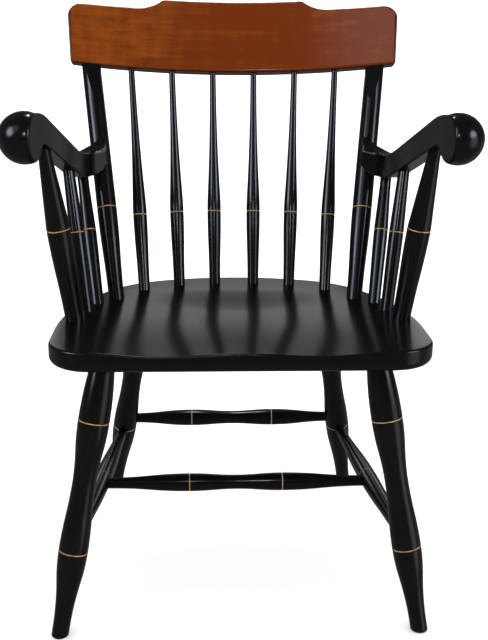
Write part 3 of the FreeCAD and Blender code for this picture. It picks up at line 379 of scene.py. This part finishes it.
stretcher_rings, centre_ends = [], []
for side in SIDES:
    ends = []
    for end in ("front", "rear"):
        foot, head = leg_axes[end, side]
        ends.append(foot.lerp(head, SIDE_STRETCHER_HEIGHT[end] / seat_underside))
    length = (ends[1] - ends[0]).length
    stretcher_rings.append((ends[0], ends[1], length / 2, STRETCHER_RING_RADIUS))
    share = (CENTRE_STRETCHER_SET_BACK - FRONT_REACH - ends[0].y) / (ends[1].y - ends[0].y)
    centre_ends.append(ends[0].lerp(ends[1], share))
rear_ends = [foot.lerp(head, REAR_STRETCHER_HEIGHT / seat_underside)
             for foot, head in (leg_axes["rear", "left"], leg_axes["rear", "right"])]
for ends, ring_x in ((centre_ends, CENTRE_STRETCHER_RING_X), (rear_ends, REAR_STRETCHER_RING_X)):
    for sign in SIDES.values():
        stretcher_rings.append((*ends, (ends[1] - ends[0]).length / 2 + sign * ring_x, STRETCHER_RING_RADIUS))
gold_lines("stretcher_gold_lines", stretcher_rings)
dress(lengthways_lacquer, "left_side_stretcher", "right_side_stretcher")
dress(crossways_lacquer, "centre_stretcher", "rear_stretcher")

# Crest rail: a steam-bent hardwood board, sawn to a raised middle with a cove each side, and eased all round.
# It is stained cherry brown under clear satin lacquer, and glued on the posts and spindles. It is paler
# towards its left end, partly the wood's own tone and partly a painted sheen, and darker on its eased
# edges and its ends as painted shade.
CREST_SET_BACK, CREST_HEIGHT = 0.477, 0.773
CREST_LEAN = math.radians(22.5)
CREST_RADIUS, CREST_THICKNESS = 0.808, 0.022
CREST_HALF_WIDTH, CREST_END_FLARE = 0.2655, 0.005
CREST_MIDDLE_HEIGHT, CREST_DIP_HEIGHT, CREST_SHOULDER_HEIGHT = 0.122, 0.1045, 0.1015
CREST_RAISED_HALF_WIDTH, CREST_COVE_LENGTH, CREST_CORNER_RADIUS = 0.117, 0.044, 0.024
CREST_EASED_EDGE, CREST_EASED_ANGLE = 0.0045, 0.5
CREST_STRIPS = 64
CHERRY_PALE, CHERRY_MID = (0.185, 0.0400, 0.0028, 1), (0.108, 0.0168, 0.0009, 1)
CHERRY_DARK, CHERRY_EDGE_SHADE = (0.046, 0.0064, 0.0005, 1), (0.022, 0.0050, 0.0012, 1)
CREST_PALE_AND_SHEEN_END, CREST_DEEP_END = -0.28, -0.04
EDGE_SHADE_START, EDGE_SHADE_FULL = 0.0004, 0.0028
END_SHADE_START, END_SHADE_FULL = -0.0055, -0.0025
CHERRY_WANDER, CHERRY_FIBRES = 5.0, (22.0, 500.0, 900.0)
CHERRY_STREAKS, STREAK_TURN = (5.0, 60.0, 95.0), (0, 0.04, 0)
CHERRY_FIGURE, FIGURE_TURN = (55.0, 20.0, 14.0), (0, 0.55, 0)
STREAK_SHARE, FIBRE_SHARE, FIGURE_SHARE = 0.55, 0.25, 0.30
WANDER_SHARE, PALE_WOOD_AND_SHEEN_SHARE, TONE_DROP = 0.35, 0.22, 0.30
TONE_DARK, TONE_PALE = 0.25, 0.75
FIGURED_START, FIGURED_FULL = 0.30, 0.62
CHERRY_DULLNESS, WANDER_DULLNESS, FIBRE_DULLNESS = 0.10, 0.04, 0.03
CHERRY_BUMP, CHERRY_BUMP_HEIGHT, STREAK_HEIGHT = 0.08, 0.0004, 0.4


def crest_point(x, depth, up):
    """A point of the crest: its place sideways, its depth behind the front face, its height up the board."""
    behind = math.sqrt(CREST_RADIUS ** 2 - x * x) - CREST_RADIUS + depth
    set_back = CREST_SET_BACK + behind * math.cos(CREST_LEAN) + up * math.sin(CREST_LEAN)
    return chair_point(x, set_back, CREST_HEIGHT - behind * math.sin(CREST_LEAN) + up * math.cos(CREST_LEAN))


def cherry():
    """Cherry stain on close-grained wood: fine long grain, darker streaks, a faint slanting figure."""
    finish, place = new_finish("cherry_finish")
    wander = noise(place, CHERRY_WANDER)
    streaks = noise(place, detail=4.0, stretch=CHERRY_STREAKS, turn=STREAK_TURN)
    fibres = noise(place, detail=3.0, stretch=CHERRY_FIBRES)
    figure = noise(place, stretch=CHERRY_FIGURE, turn=FIGURE_TURN)
    x, y, z = along_axes(place)
    bend = x.math("SQRT", CREST_RADIUS ** 2 - x * x) - CREST_RADIUS
    set_back, up = y + FRONT_REACH - CREST_SET_BACK, z - CREST_HEIGHT
    behind = set_back * math.cos(CREST_LEAN) - up * math.sin(CREST_LEAN) - bend
    # Painted shade: the board's narrow edge faces, their eased rounding and its end faces are darkened.
    edges = behind.fade(EDGE_SHADE_START, EDGE_SHADE_FULL)
    edges *= (CREST_THICKNESS - behind).fade(EDGE_SHADE_START, EDGE_SHADE_FULL)
    end_slope = CREST_END_FLARE / (CREST_SHOULDER_HEIGHT * math.cos(CREST_LEAN))
    ends = (abs(x) - up * end_slope - CREST_HALF_WIDTH).fade(END_SHADE_START, END_SHADE_FULL)
    # Paler towards the left end: partly the board's own tone, and partly a painted sheen.
    paler_wood_and_sheen = 1 - x.fade(CREST_PALE_AND_SHEEN_END, CREST_DEEP_END)
    tone = STREAK_SHARE * streaks + FIBRE_SHARE * fibres + FIGURE_SHARE * figure
    tone = tone + WANDER_SHARE * wander + PALE_WOOD_AND_SHEEN_SHARE * paler_wood_and_sheen - TONE_DROP
    stops = [(TONE_DARK, CHERRY_DARK), (TONE_PALE, CHERRY_PALE)]
    figured = tone.node("ShaderNodeValToRGB", {"stops": stops}, {0: tone})
    colour = tone.fade(FIGURED_START, FIGURED_FULL).blend(CHERRY_MID, figured)
    # The painted shade on the edges and ends goes on here.
    colour = edges.math("MAXIMUM", edges, ends).blend(colour, CHERRY_EDGE_SHADE)
    sheen = CHERRY_DULLNESS + WANDER_DULLNESS * wander + FIBRE_DULLNESS * fibres
    bump = place.node("ShaderNodeBump", {}, {
        "Strength": CHERRY_BUMP, "Distance": CHERRY_BUMP_HEIGHT, "Height": fibres + STREAK_HEIGHT * streaks})
    surface = place.node("ShaderNodeBsdfPrincipled", {}, {
        "Base Color": colour, "Roughness": sheen, "Normal": bump, "IOR": LACQUER_IOR})
    place.node("ShaderNodeOutputMaterial", {}, {"Surface": surface})
    return finish


def slice_at(shape, place, way, **cleared):
    """Cuts a shape's edges and faces where a plane crosses them, and returns the cut's edges."""
    whole = shape.verts[:] + shape.edges[:] + shape.faces[:]
    cut = bmesh.ops.bisect_plane(shape, geom=whole, plane_co=place, plane_no=way, dist=TOUCHING, **cleared)
    return [item for item in cut["geom_cut"] if isinstance(item, bmesh.types.BMEdge)]


ACROSS, BACK = Vector((1, 0, 0)), Vector((0, 1, 0))
crest = bmesh.new()
crest_end = CREST_HALF_WIDTH + CREST_END_FLARE
corner_x, corner_up = crest_end - CREST_CORNER_RADIUS, CREST_SHOULDER_HEIGHT - CREST_CORNER_RADIUS
cove_rise = CREST_MIDDLE_HEIGHT - CREST_DIP_HEIGHT
cove_radius = (CREST_COVE_LENGTH ** 2 + cove_rise ** 2) / (2 * cove_rise)
cove_x = CREST_RAISED_HALF_WIDTH + CREST_COVE_LENGTH
pen = crest.verts.new((0, 0, 0))
pen = line_to(crest, pen, (CREST_HALF_WIDTH, 0, 0))
pen = line_to(crest, pen, (crest_end, 0, corner_up))
pen = arc_to(crest, pen, (corner_x, 0, corner_up), -BACK, math.pi / 2, steps=10)
pen = line_to(crest, pen, (cove_x, 0, CREST_DIP_HEIGHT))
cove_angle = math.asin(CREST_COVE_LENGTH / cove_radius)
pen = arc_to(crest, pen, (cove_x, 0, CREST_DIP_HEIGHT + cove_radius), BACK, cove_angle, steps=10)
pen = line_to(crest, pen, (0, 0, CREST_MIDDLE_HEIGHT))
bmesh.ops.mirror(crest, geom=crest.verts[:] + crest.edges[:], axis="X", merge_dist=MIRROR_GAP)
close_outline(crest, BACK * CREST_THICKNESS)
sharp = [edge for edge in crest.edges if edge.calc_face_angle() > CREST_EASED_ANGLE]
ease(crest, sharp, CREST_EASED_EDGE, segments=4)
for strip in range(1, CREST_STRIPS):
    slice_at(crest, ACROSS * crest_end * (2 * strip / CREST_STRIPS - 1), ACROSS)
for vert in crest.verts:
    vert.co = crest_point(*vert.co)
finished("bent_crest", crest, cherry(), "cherry_finish", "crest_rail")

# Back posts and back spindles: turned, with one gold ring each, glued into the seat and up into the crest.
# The posts carry the arms' ends, each on a screw under a wood plug behind.
POST_BASE_X, POST_BASE_SET_BACK, POST_TOP_X = 0.189, 0.292, 0.2335
POST_RING_HEIGHT, POST_RING_RADIUS = 0.132, 0.0157
SPINDLE_BASE_X, SPINDLE_BASE_SET_BACK = (0.032, 0.0912, 0.1477), (0.3915, 0.3795, 0.347)
SPINDLE_TOP_X = (0.0342, 0.1024, 0.1692)
SPINDLE_RING_HEIGHT, SPINDLE_RING_RADIUS = 0.115, 0.0113
BACK_SPINDLES = 2 * len(SPINDLE_BASE_X)


def standing_ring(base, head, height, radius):
    """A ring on a turning that stands on the seat, at a height above the seat's rim."""
    return base, head, height * (head - base).length / (head.z - base.z), radius


post_axes, post_rings, spindle_rings = {}, [], []
for side, sign in SIDES.items():
    base = chair_point(sign * POST_BASE_X, POST_BASE_SET_BACK, SEAT_TOP)
    post_axes[side] = base, crest_point(sign * POST_TOP_X, CREST_THICKNESS / 2, 0)
    post_rings.append(standing_ring(*post_axes[side], POST_RING_HEIGHT, POST_RING_RADIUS))
    dress(upright_lacquer, f"{side}_back_post")
    for base_x, set_back, top_x in zip(SPINDLE_BASE_X, SPINDLE_BASE_SET_BACK, SPINDLE_TOP_X):
        base = chair_point(sign * base_x, set_back, SEAT_TOP)
        head = crest_point(sign * top_x, CREST_THICKNESS / 2, 0)
        spindle_rings.append(standing_ring(base, head, SPINDLE_RING_HEIGHT, SPINDLE_RING_RADIUS))
dress(upright_lacquer, *[f"back_spindle_{number}" for number in range(1, BACK_SPINDLES + 1)])
gold_lines("back_post_gold_lines", post_rings)
gold_lines("back_spindle_gold_lines", spindle_rings)

# Arms: each is sawn from thick hardwood, a sloping plank that ends in a ball in front, flat on its inner
# side, and in a hook behind that is coped to the back post. The edges are sanded round, and the arm is
# lacquered black.
KNOB_X, KNOB_SET_BACK, KNOB_HEIGHT, KNOB_RADIUS = 0.2845, 0.062, 0.706, 0.0348
KNOB_SEGMENTS, KNOB_RINGS = 72, 36
ARM_TOE_IN, ARM_SLOPE = math.radians(8.2), math.radians(21.2)
ARM_LINE_REACH, ARM_CROWN_RADIUS = 0.041, 0.130
ARM_THICKNESS, ARM_FACE_INSET = 0.026, 0.0156
ARM_NECK_ALONG, ARM_NECK_DEPTH, ARM_THROAT_RADIUS = 0.041, 0.0406, 0.015
ARM_HEEL_LEAD, ARM_HEEL_DEPTH, ARM_HEEL_RADIUS = 0.108, 0.0353, 0.200
ARM_DIP_LEAD, ARM_DIP_RADIUS, ARM_LIP_RADIUS = 0.038, 0.240, 0.042
ARM_CORNER_LEAD, ARM_CORNER_RADIUS = 0.022, 0.015
ARM_HOOK_TURN, ARM_HOOK_RADIUS = math.radians(52), 0.025
ARM_END_DROP, ARM_COPE_DEPTH, ARM_END_REACH = 0.068, 0.004, 0.0116
HOOK_STRIPS = 22
SANDING_GRID, SANDING_PASSES = 0.0012, 9


def post_point(height):
    """The point of the right back post's axis at a height above the floor."""
    base, head = post_axes["right"]
    return base.lerp(head, (height - base.z) / (head.z - base.z))


toe = Matrix.Rotation(ARM_TOE_IN, 4, "Z")
arm_place = Matrix.Translation(chair_point(KNOB_X, KNOB_SET_BACK, KNOB_HEIGHT)) @ toe
arm_end = arm_place.inverted() @ post_point(KNOB_HEIGHT - ARM_END_DROP)
arm_inner, arm_centre = -ARM_FACE_INSET, ARM_THICKNESS / 2 - ARM_FACE_INSET
face_circle = math.sqrt(KNOB_RADIUS ** 2 - ARM_FACE_INSET ** 2)


def arm_upper(along):
    """The height of the arm's sloping upper line above the ball's centre."""
    return ARM_LINE_REACH / math.cos(ARM_SLOPE) - along * math.tan(ARM_SLOPE)


crown_along = (arm_upper(0) - face_circle) / math.tan(ARM_SLOPE)
crown_start = crown_along - ARM_CROWN_RADIUS * math.tan(ARM_SLOPE / 2)
heel_along = arm_end.y - ARM_HEEL_LEAD
heel_up = arm_upper(heel_along) - ARM_HEEL_DEPTH
neck_up = arm_upper(ARM_NECK_ALONG) - ARM_NECK_DEPTH
heel_slope = math.atan((neck_up - heel_up) / (heel_along - ARM_NECK_ALONG))
dip_along = arm_end.y - ARM_DIP_LEAD
dip_start = dip_along - ARM_DIP_RADIUS * math.sin(ARM_SLOPE)
dip_centre_up = arm_upper(dip_start) + ARM_DIP_RADIUS * math.cos(ARM_SLOPE)
lip_centre_up = dip_centre_up - ARM_DIP_RADIUS + ARM_LIP_RADIUS
sole_along = heel_along + ARM_HEEL_RADIUS * math.sin(heel_slope)
sole_up = heel_up - ARM_HEEL_RADIUS * (1 - math.cos(heel_slope))
corner_along = arm_end.y - ARM_CORNER_LEAD - ARM_CORNER_RADIUS
heel_way = Vector((0, math.cos(heel_slope), -math.sin(heel_slope)))
neck = Vector((0, ARM_NECK_ALONG, neck_up))
throat_centre = neck + heel_way.cross(ACROSS) * ARM_THROAT_RADIUS
neck_reach = throat_centre.dot(heel_way)
throat_reach = face_circle + ARM_THROAT_RADIUS
throat_run = math.sqrt(neck_reach ** 2 - throat_centre.length_squared + throat_reach ** 2) - neck_reach
throat_centre += heel_way * throat_run
throat_turn = (neck + heel_way * throat_run - throat_centre).angle(-throat_centre)
inner_face = ACROSS * arm_inner
arm = bmesh.new()
first = pen = arm.verts.new((arm_inner, 0, face_circle))
pen = line_to(arm, pen, (arm_inner, crown_start, face_circle))
pen = arc_to(arm, pen, (arm_inner, crown_start, face_circle - ARM_CROWN_RADIUS), ACROSS, -ARM_SLOPE, steps=8)
pen = line_to(arm, pen, (arm_inner, dip_start, arm_upper(dip_start)))
pen = arc_to(arm, pen, (arm_inner, dip_along, dip_centre_up), ACROSS, ARM_SLOPE, steps=8)
lip_turn = math.asin(ARM_DIP_LEAD / ARM_LIP_RADIUS)
pen = arc_to(arm, pen, (arm_inner, dip_along, lip_centre_up), ACROSS, lip_turn, steps=10)
pen = line_to(arm, pen, (arm_inner, arm_end.y, sole_up + ARM_CORNER_RADIUS))
pen = line_to(arm, pen, (arm_inner, arm_end.y - ARM_CORNER_LEAD, sole_up + ARM_CORNER_RADIUS))
pen = arc_to(arm, pen, (arm_inner, corner_along, sole_up + ARM_CORNER_RADIUS), ACROSS, -math.pi / 2, steps=8)
pen = line_to(arm, pen, (arm_inner, sole_along, sole_up))
pen = arc_to(arm, pen, (arm_inner, sole_along, sole_up + ARM_HEEL_RADIUS), ACROSS, -heel_slope, steps=6)
pen = line_to(arm, pen, inner_face + neck + heel_way * throat_run)
pen = arc_to(arm, pen, inner_face + throat_centre, ACROSS, throat_turn, steps=8)
pen = line_to(arm, pen, (arm_inner, 0, pen.co.z))
arm.edges.new((pen, first))
close_outline(arm, ACROSS * ARM_THICKNESS)
hook_shift = arm_centre - arm_end.x
hook_run = (hook_shift - ARM_HOOK_RADIUS * (1 - math.cos(ARM_HOOK_TURN))) / math.sin(ARM_HOOK_TURN)
hook_lead = ARM_HOOK_RADIUS * math.sin(ARM_HOOK_TURN) + hook_run * math.cos(ARM_HOOK_TURN)
hook_along = arm_end.y - POST_RING_RADIUS - hook_lead
for strip in range(HOOK_STRIPS):
    slice_at(arm, BACK * (hook_along + (arm_end.y - hook_along) * strip / HOOK_STRIPS), BACK)
hook_centre = arm_centre - ARM_HOOK_RADIUS
for vert in arm.verts:
    reach = vert.co.y - hook_along
    if reach > 0:
        radius = vert.co.x - hook_centre
        beyond = reach - radius * math.sin(ARM_HOOK_TURN)
        if beyond < 0:
            vert.co.x = hook_centre + math.sqrt(radius ** 2 - reach ** 2)
        else:
            vert.co.x = hook_centre + radius * math.cos(ARM_HOOK_TURN) - beyond * math.tan(ARM_HOOK_TURN)
bmesh.ops.transform(arm, matrix=arm_place, verts=arm.verts)
post_base, post_head = post_axes["right"]
post_turn = UP.rotation_difference(post_head - post_base)
cope_way, end_way = post_turn @ BACK, post_turn @ -ACROSS
for way, reach in ((cope_way, ARM_COPE_DEPTH - POST_RING_RADIUS), (end_way, ARM_END_REACH)):
    rim = slice_at(arm, post_base + way * reach, way, clear_outer=True)
    bmesh.ops.contextual_create(arm, geom=rim)
bmesh.ops.recalc_face_normals(arm, faces=arm.faces)

ball = bmesh.new()
bmesh.ops.create_uvsphere(ball, u_segments=KNOB_SEGMENTS, v_segments=KNOB_RINGS, radius=KNOB_RADIUS)
rim = slice_at(ball, inner_face, ACROSS, clear_inner=True)
bmesh.ops.contextual_create(ball, geom=rim)
bmesh.ops.transform(ball, matrix=arm_place, verts=ball.verts)
bmesh.ops.recalc_face_normals(ball, faces=ball.faces)


def sanded(*blanks):
    """One closed shape from blanks that overlap, with every edge and corner sanded round."""
    mesh = bpy.data.meshes.new("arm_blank")
    whole = bmesh.new()
    for blank in blanks:
        blank.to_mesh(mesh)
        blank.free()
        whole.from_mesh(mesh)
    whole.to_mesh(mesh)
    whole.clear()
    bench = bpy.data.objects.new("arm_blank", mesh)
    bpy.context.scene.collection.objects.link(bench)
    grid = bench.modifiers.new("one_skin", "REMESH")
    grid.mode, grid.voxel_size = "VOXEL", SANDING_GRID
    paper = bench.modifiers.new("sandpaper", "SMOOTH")
    paper.factor, paper.iterations = 1.0, SANDING_PASSES
    whole.from_object(bench, bpy.context.evaluated_depsgraph_get())
    bpy.data.meshes.remove(mesh)
    return whole


right_arm = sanded(arm, ball)
left_arm = right_arm.copy()
bmesh.ops.scale(left_arm, vec=(-1, 1, 1), verts=left_arm.verts)
bmesh.ops.reverse_faces(left_arm, faces=left_arm.faces)
finished("right_arm_with_ball", right_arm, lengthways_lacquer, "black_lacquer", "right_arm")
finished("left_arm_with_ball", left_arm, lengthways_lacquer, "black_lacquer", "left_arm")

# Arm posts and arm spindles: turned like the back's, with one gold ring, glued into the seat and the arm.
# The arms' screws are zinc-plated steel, and a lacquered wood plug hides each head.
ARM_TURNING_BASE_X = {"arm_post": 0.240, "front_arm_spindle": 0.228, "rear_arm_spindle": 0.216}
ARM_TURNING_BASE_SET_BACK = {"arm_post": 0.162, "front_arm_spindle": 0.215, "rear_arm_spindle": 0.262}
ARM_TURNING_ALONG = {"arm_post": 0.077, "front_arm_spindle": 0.202, "rear_arm_spindle": 0.288}
ARM_TURNING_RING_HEIGHT = {"arm_post": 0.137, "front_arm_spindle": 0.1145, "rear_arm_spindle": 0.1035}
ARM_TURNING_RING_RADIUS = {"arm_post": 0.0171, "front_arm_spindle": 0.0111, "rear_arm_spindle": 0.0111}
STEEL_DARK, STEEL_PALE = (0.50, 0.50, 0.51, 1), (0.60, 0.60, 0.61, 1)
STEEL_MOTTLE, STEEL_DULLNESS, MOTTLE_DULLNESS = 900.0, 0.28, 0.15


def steel():
    """Zinc plate: grey, softly mottled metal."""
    finish, place = new_finish("screw_steel")
    mottle = noise(place, STEEL_MOTTLE)
    surface = place.node("ShaderNodeBsdfPrincipled", {}, {
        "Base Color": mottle.blend(STEEL_DARK, STEEL_PALE),
        "Roughness": STEEL_DULLNESS + MOTTLE_DULLNESS * mottle, "Metallic": 1.0})
    place.node("ShaderNodeOutputMaterial", {}, {"Surface": surface})
    return finish


arm_turning_rings = []
for piece, along in ARM_TURNING_ALONG.items():
    under = neck_up - math.tan(heel_slope) * (along - ARM_NECK_ALONG)
    head = arm_place @ Vector((arm_centre, along, under))
    base = chair_point(ARM_TURNING_BASE_X[piece], ARM_TURNING_BASE_SET_BACK[piece], SEAT_TOP)
    height, radius = ARM_TURNING_RING_HEIGHT[piece], ARM_TURNING_RING_RADIUS[piece]
    for side, sign in SIDES.items():
        flip = Matrix.Diagonal((sign, 1, 1))
        arm_turning_rings.append(standing_ring(flip @ base, flip @ head, height, radius))
        dress(upright_lacquer, f"{side}_{piece}")
gold_lines("arm_turning_gold_lines", arm_turning_rings)
dress(upright_lacquer, "screw_plugs")
dress(steel(), "arm_screws")

# Studio: a plain pale floor in an even white room. The lacquer mirrors a darker room, with a soft window at
# each side in front, and lit panels behind the chair that show in the seat. One small lamp hangs above, and
# another by the camera, which stands a little left of the middle.
FLOOR_SIDE, FLOOR_CELLS, FLOOR_GAP = 30.0, 8, 0.0002
FLOOR_DARK, FLOOR_PALE = (0.86, 0.86, 0.86, 1), (0.90, 0.90, 0.90, 1)
FLOOR_MARKS, FLOOR_DULLNESS, MARK_DULLNESS, FLOOR_SHINE = 3.0, 0.8, 0.1, 0.1
ROOM_WHITE = (1.8, 1.8, 1.8, 1)
CEILING_IN_FRONT, CEILING_BEHIND = (0.035, 0.035, 0.038, 1), (0.08, 0.08, 0.085, 1)
GROUND_IN_FRONT = (0.09, 0.09, 0.092, 1)
GROUND_BEHIND_LEFT, GROUND_BEHIND_RIGHT = (0.15, 0.15, 0.15, 1), (0.18, 0.18, 0.18, 1)
BEHIND_START, BEHIND_FULL = -0.2, 0.6
GROUND_START, GROUND_END = -0.15, 0.02
LEFT_END, RIGHT_END = -0.3, 0.3
WINDOWS = {
    "left": {"towards": (-0.80, -0.46, 0.42), "edge": 0.935, "light": (5.6, 6.1, 7.2, 1)},
    "right": {"towards": (0.82, -0.51, 0.31), "edge": 0.94, "light": (5.4, 5.9, 7.0, 1)},
    "right_wall": {"towards": (0.86, -0.50, -0.12), "edge": 0.90, "light": (0.9, 0.9, 0.9, 1)},
    "left_skylight": {"towards": (-0.46, -0.60, 0.65), "edge": 0.95, "light": (0.6, 0.85, 0.95, 1)},
}
LAMPS = {
    "top_softbox": {"place": (-0.05, 0.75, 2.4), "aim": (0, 0, 0.4), "size": (0.20, 0.20), "watts": 5},
    "front_lamp": {"place": (-0.06, -1.61, 1.28), "aim": (0, 0, 0.6), "size": (0.10, 0.20), "watts": 1.6},
    "back_panel": {"place": (0.08, 2.4, 1.185), "aim": (0.08, 0, 0.6), "size": (0.88, 0.37), "watts": 0.62},
    "upper_back_panel": {"place": (0.08, 2.4, 1.67), "aim": (0.08, 0, 0.6), "size": (0.88, 0.60),
                         "watts": 0.66},
    "lower_back_panel": {"place": (0.08, 2.4, 0.90), "aim": (0.08, 0, 0.6), "size": (0.88, 0.20),
                         "watts": 0.077},
    "left_back_panel": {"place": (-0.95, 2.4, 1.10), "aim": (0, 0, 0.6), "size": (0.65, 0.5), "watts": 1.20},
    "right_back_panel": {"place": (1.10, 2.4, 1.10), "aim": (0, 0, 0.6), "size": (0.65, 0.5), "watts": 1.15},
}
CAMERA_PLACE = Vector((-0.05893, -1.61164, 0.85289))
CAMERA_YAW, CAMERA_PITCH, CAMERA_ROLL = 0.0443, 0.275, -0.008
CAMERA_FOCAL_PIXELS, PICTURE_HEIGHT = 1056.03, 640
SENSOR_LONG_SIDE = 36.0


def floor_paint():
    """Matt pale paint with hardly visible roller marks."""
    finish, place = new_finish("pale_floor")
    marks = noise(place, FLOOR_MARKS, detail=4.0)
    surface = place.node("ShaderNodeBsdfPrincipled", {}, {
        "Base Color": marks.blend(FLOOR_DARK, FLOOR_PALE),
        "Roughness": FLOOR_DULLNESS + MARK_DULLNESS * marks, "Specular IOR Level": FLOOR_SHINE})
    place.node("ShaderNodeOutputMaterial", {}, {"Surface": surface})
    return finish


floor_shape = bmesh.new()
bmesh.ops.create_grid(floor_shape, x_segments=FLOOR_CELLS, y_segments=FLOOR_CELLS, size=FLOOR_SIDE / 2)
bmesh.ops.translate(floor_shape, vec=(0, 0, -FLOOR_GAP), verts=floor_shape.verts)
floor_mesh = bpy.data.meshes.new("floor")
floor_shape.to_mesh(floor_mesh)
floor_shape.free()
floor_mesh.materials.append(floor_paint())
floor = bpy.data.objects.new("floor", floor_mesh)
bpy.context.scene.collection.objects.link(floor)
floor.visible_glossy = False

room = bpy.data.worlds.new("white_room")
room.use_nodes = True
room.node_tree.nodes.clear()
air = Wire(room.node_tree)
looking = air.node("ShaderNodeTexCoord", output="Generated")
side, depth, height = along_axes(looking)
behind = depth.fade(BEHIND_START, BEHIND_FULL)
ceiling = behind.blend(CEILING_IN_FRONT, CEILING_BEHIND)
ground_behind = side.fade(LEFT_END, RIGHT_END).blend(GROUND_BEHIND_LEFT, GROUND_BEHIND_RIGHT)
ground = behind.blend(GROUND_IN_FRONT, ground_behind)
walls = height.fade(GROUND_START, GROUND_END).blend(ground, ceiling)
for window in WINDOWS.values():
    facing = air.node("ShaderNodeVectorMath", {"operation": "DOT_PRODUCT"},
                      {0: looking, 1: Vector(window["towards"]).normalized()}, output="Value")
    walls = facing.fade(window["edge"], 1.0).blend(walls, window["light"])
mirrored = air.node("ShaderNodeLightPath", output="Is Glossy Ray")
glow = air.node("ShaderNodeBackground", {}, {"Color": mirrored.blend(ROOM_WHITE, walls)})
air.node("ShaderNodeOutputWorld", {}, {"Surface": glow})
# The room looks different to mirrored rays, so its light isn't sampled as one picture.
room.cycles.sampling_method = "NONE"
bpy.context.scene.world = room

for name, lamp in LAMPS.items():
    light = bpy.data.lights.new(name, "AREA")
    light.shape, light.energy = "RECTANGLE", lamp["watts"]
    light.size, light.size_y = lamp["size"]
    holder = bpy.data.objects.new(name, light)
    holder.location = lamp["place"]
    holder.rotation_euler = (Vector(lamp["aim"]) - holder.location).to_track_quat("-Z", "Y").to_euler()
    holder.visible_camera = False
    bpy.context.scene.collection.objects.link(holder)

camera = bpy.data.objects.new("camera", bpy.data.cameras.new("camera"))
camera.data.sensor_width = SENSOR_LONG_SIDE
camera.data.lens = SENSOR_LONG_SIDE * CAMERA_FOCAL_PIXELS / PICTURE_HEIGHT
turn = Matrix.Rotation(-CAMERA_YAW, 4, "Z") @ Matrix.Rotation(math.pi / 2 - CAMERA_PITCH, 4, "X")
camera.matrix_world = Matrix.Translation(CAMERA_PLACE) @ turn @ Matrix.Rotation(-CAMERA_ROLL, 4, "Z")
bpy.context.scene.collection.objects.link(camera)
bpy.context.scene.camera = camera
bpy.context.scene.view_settings.view_transform = "Standard"
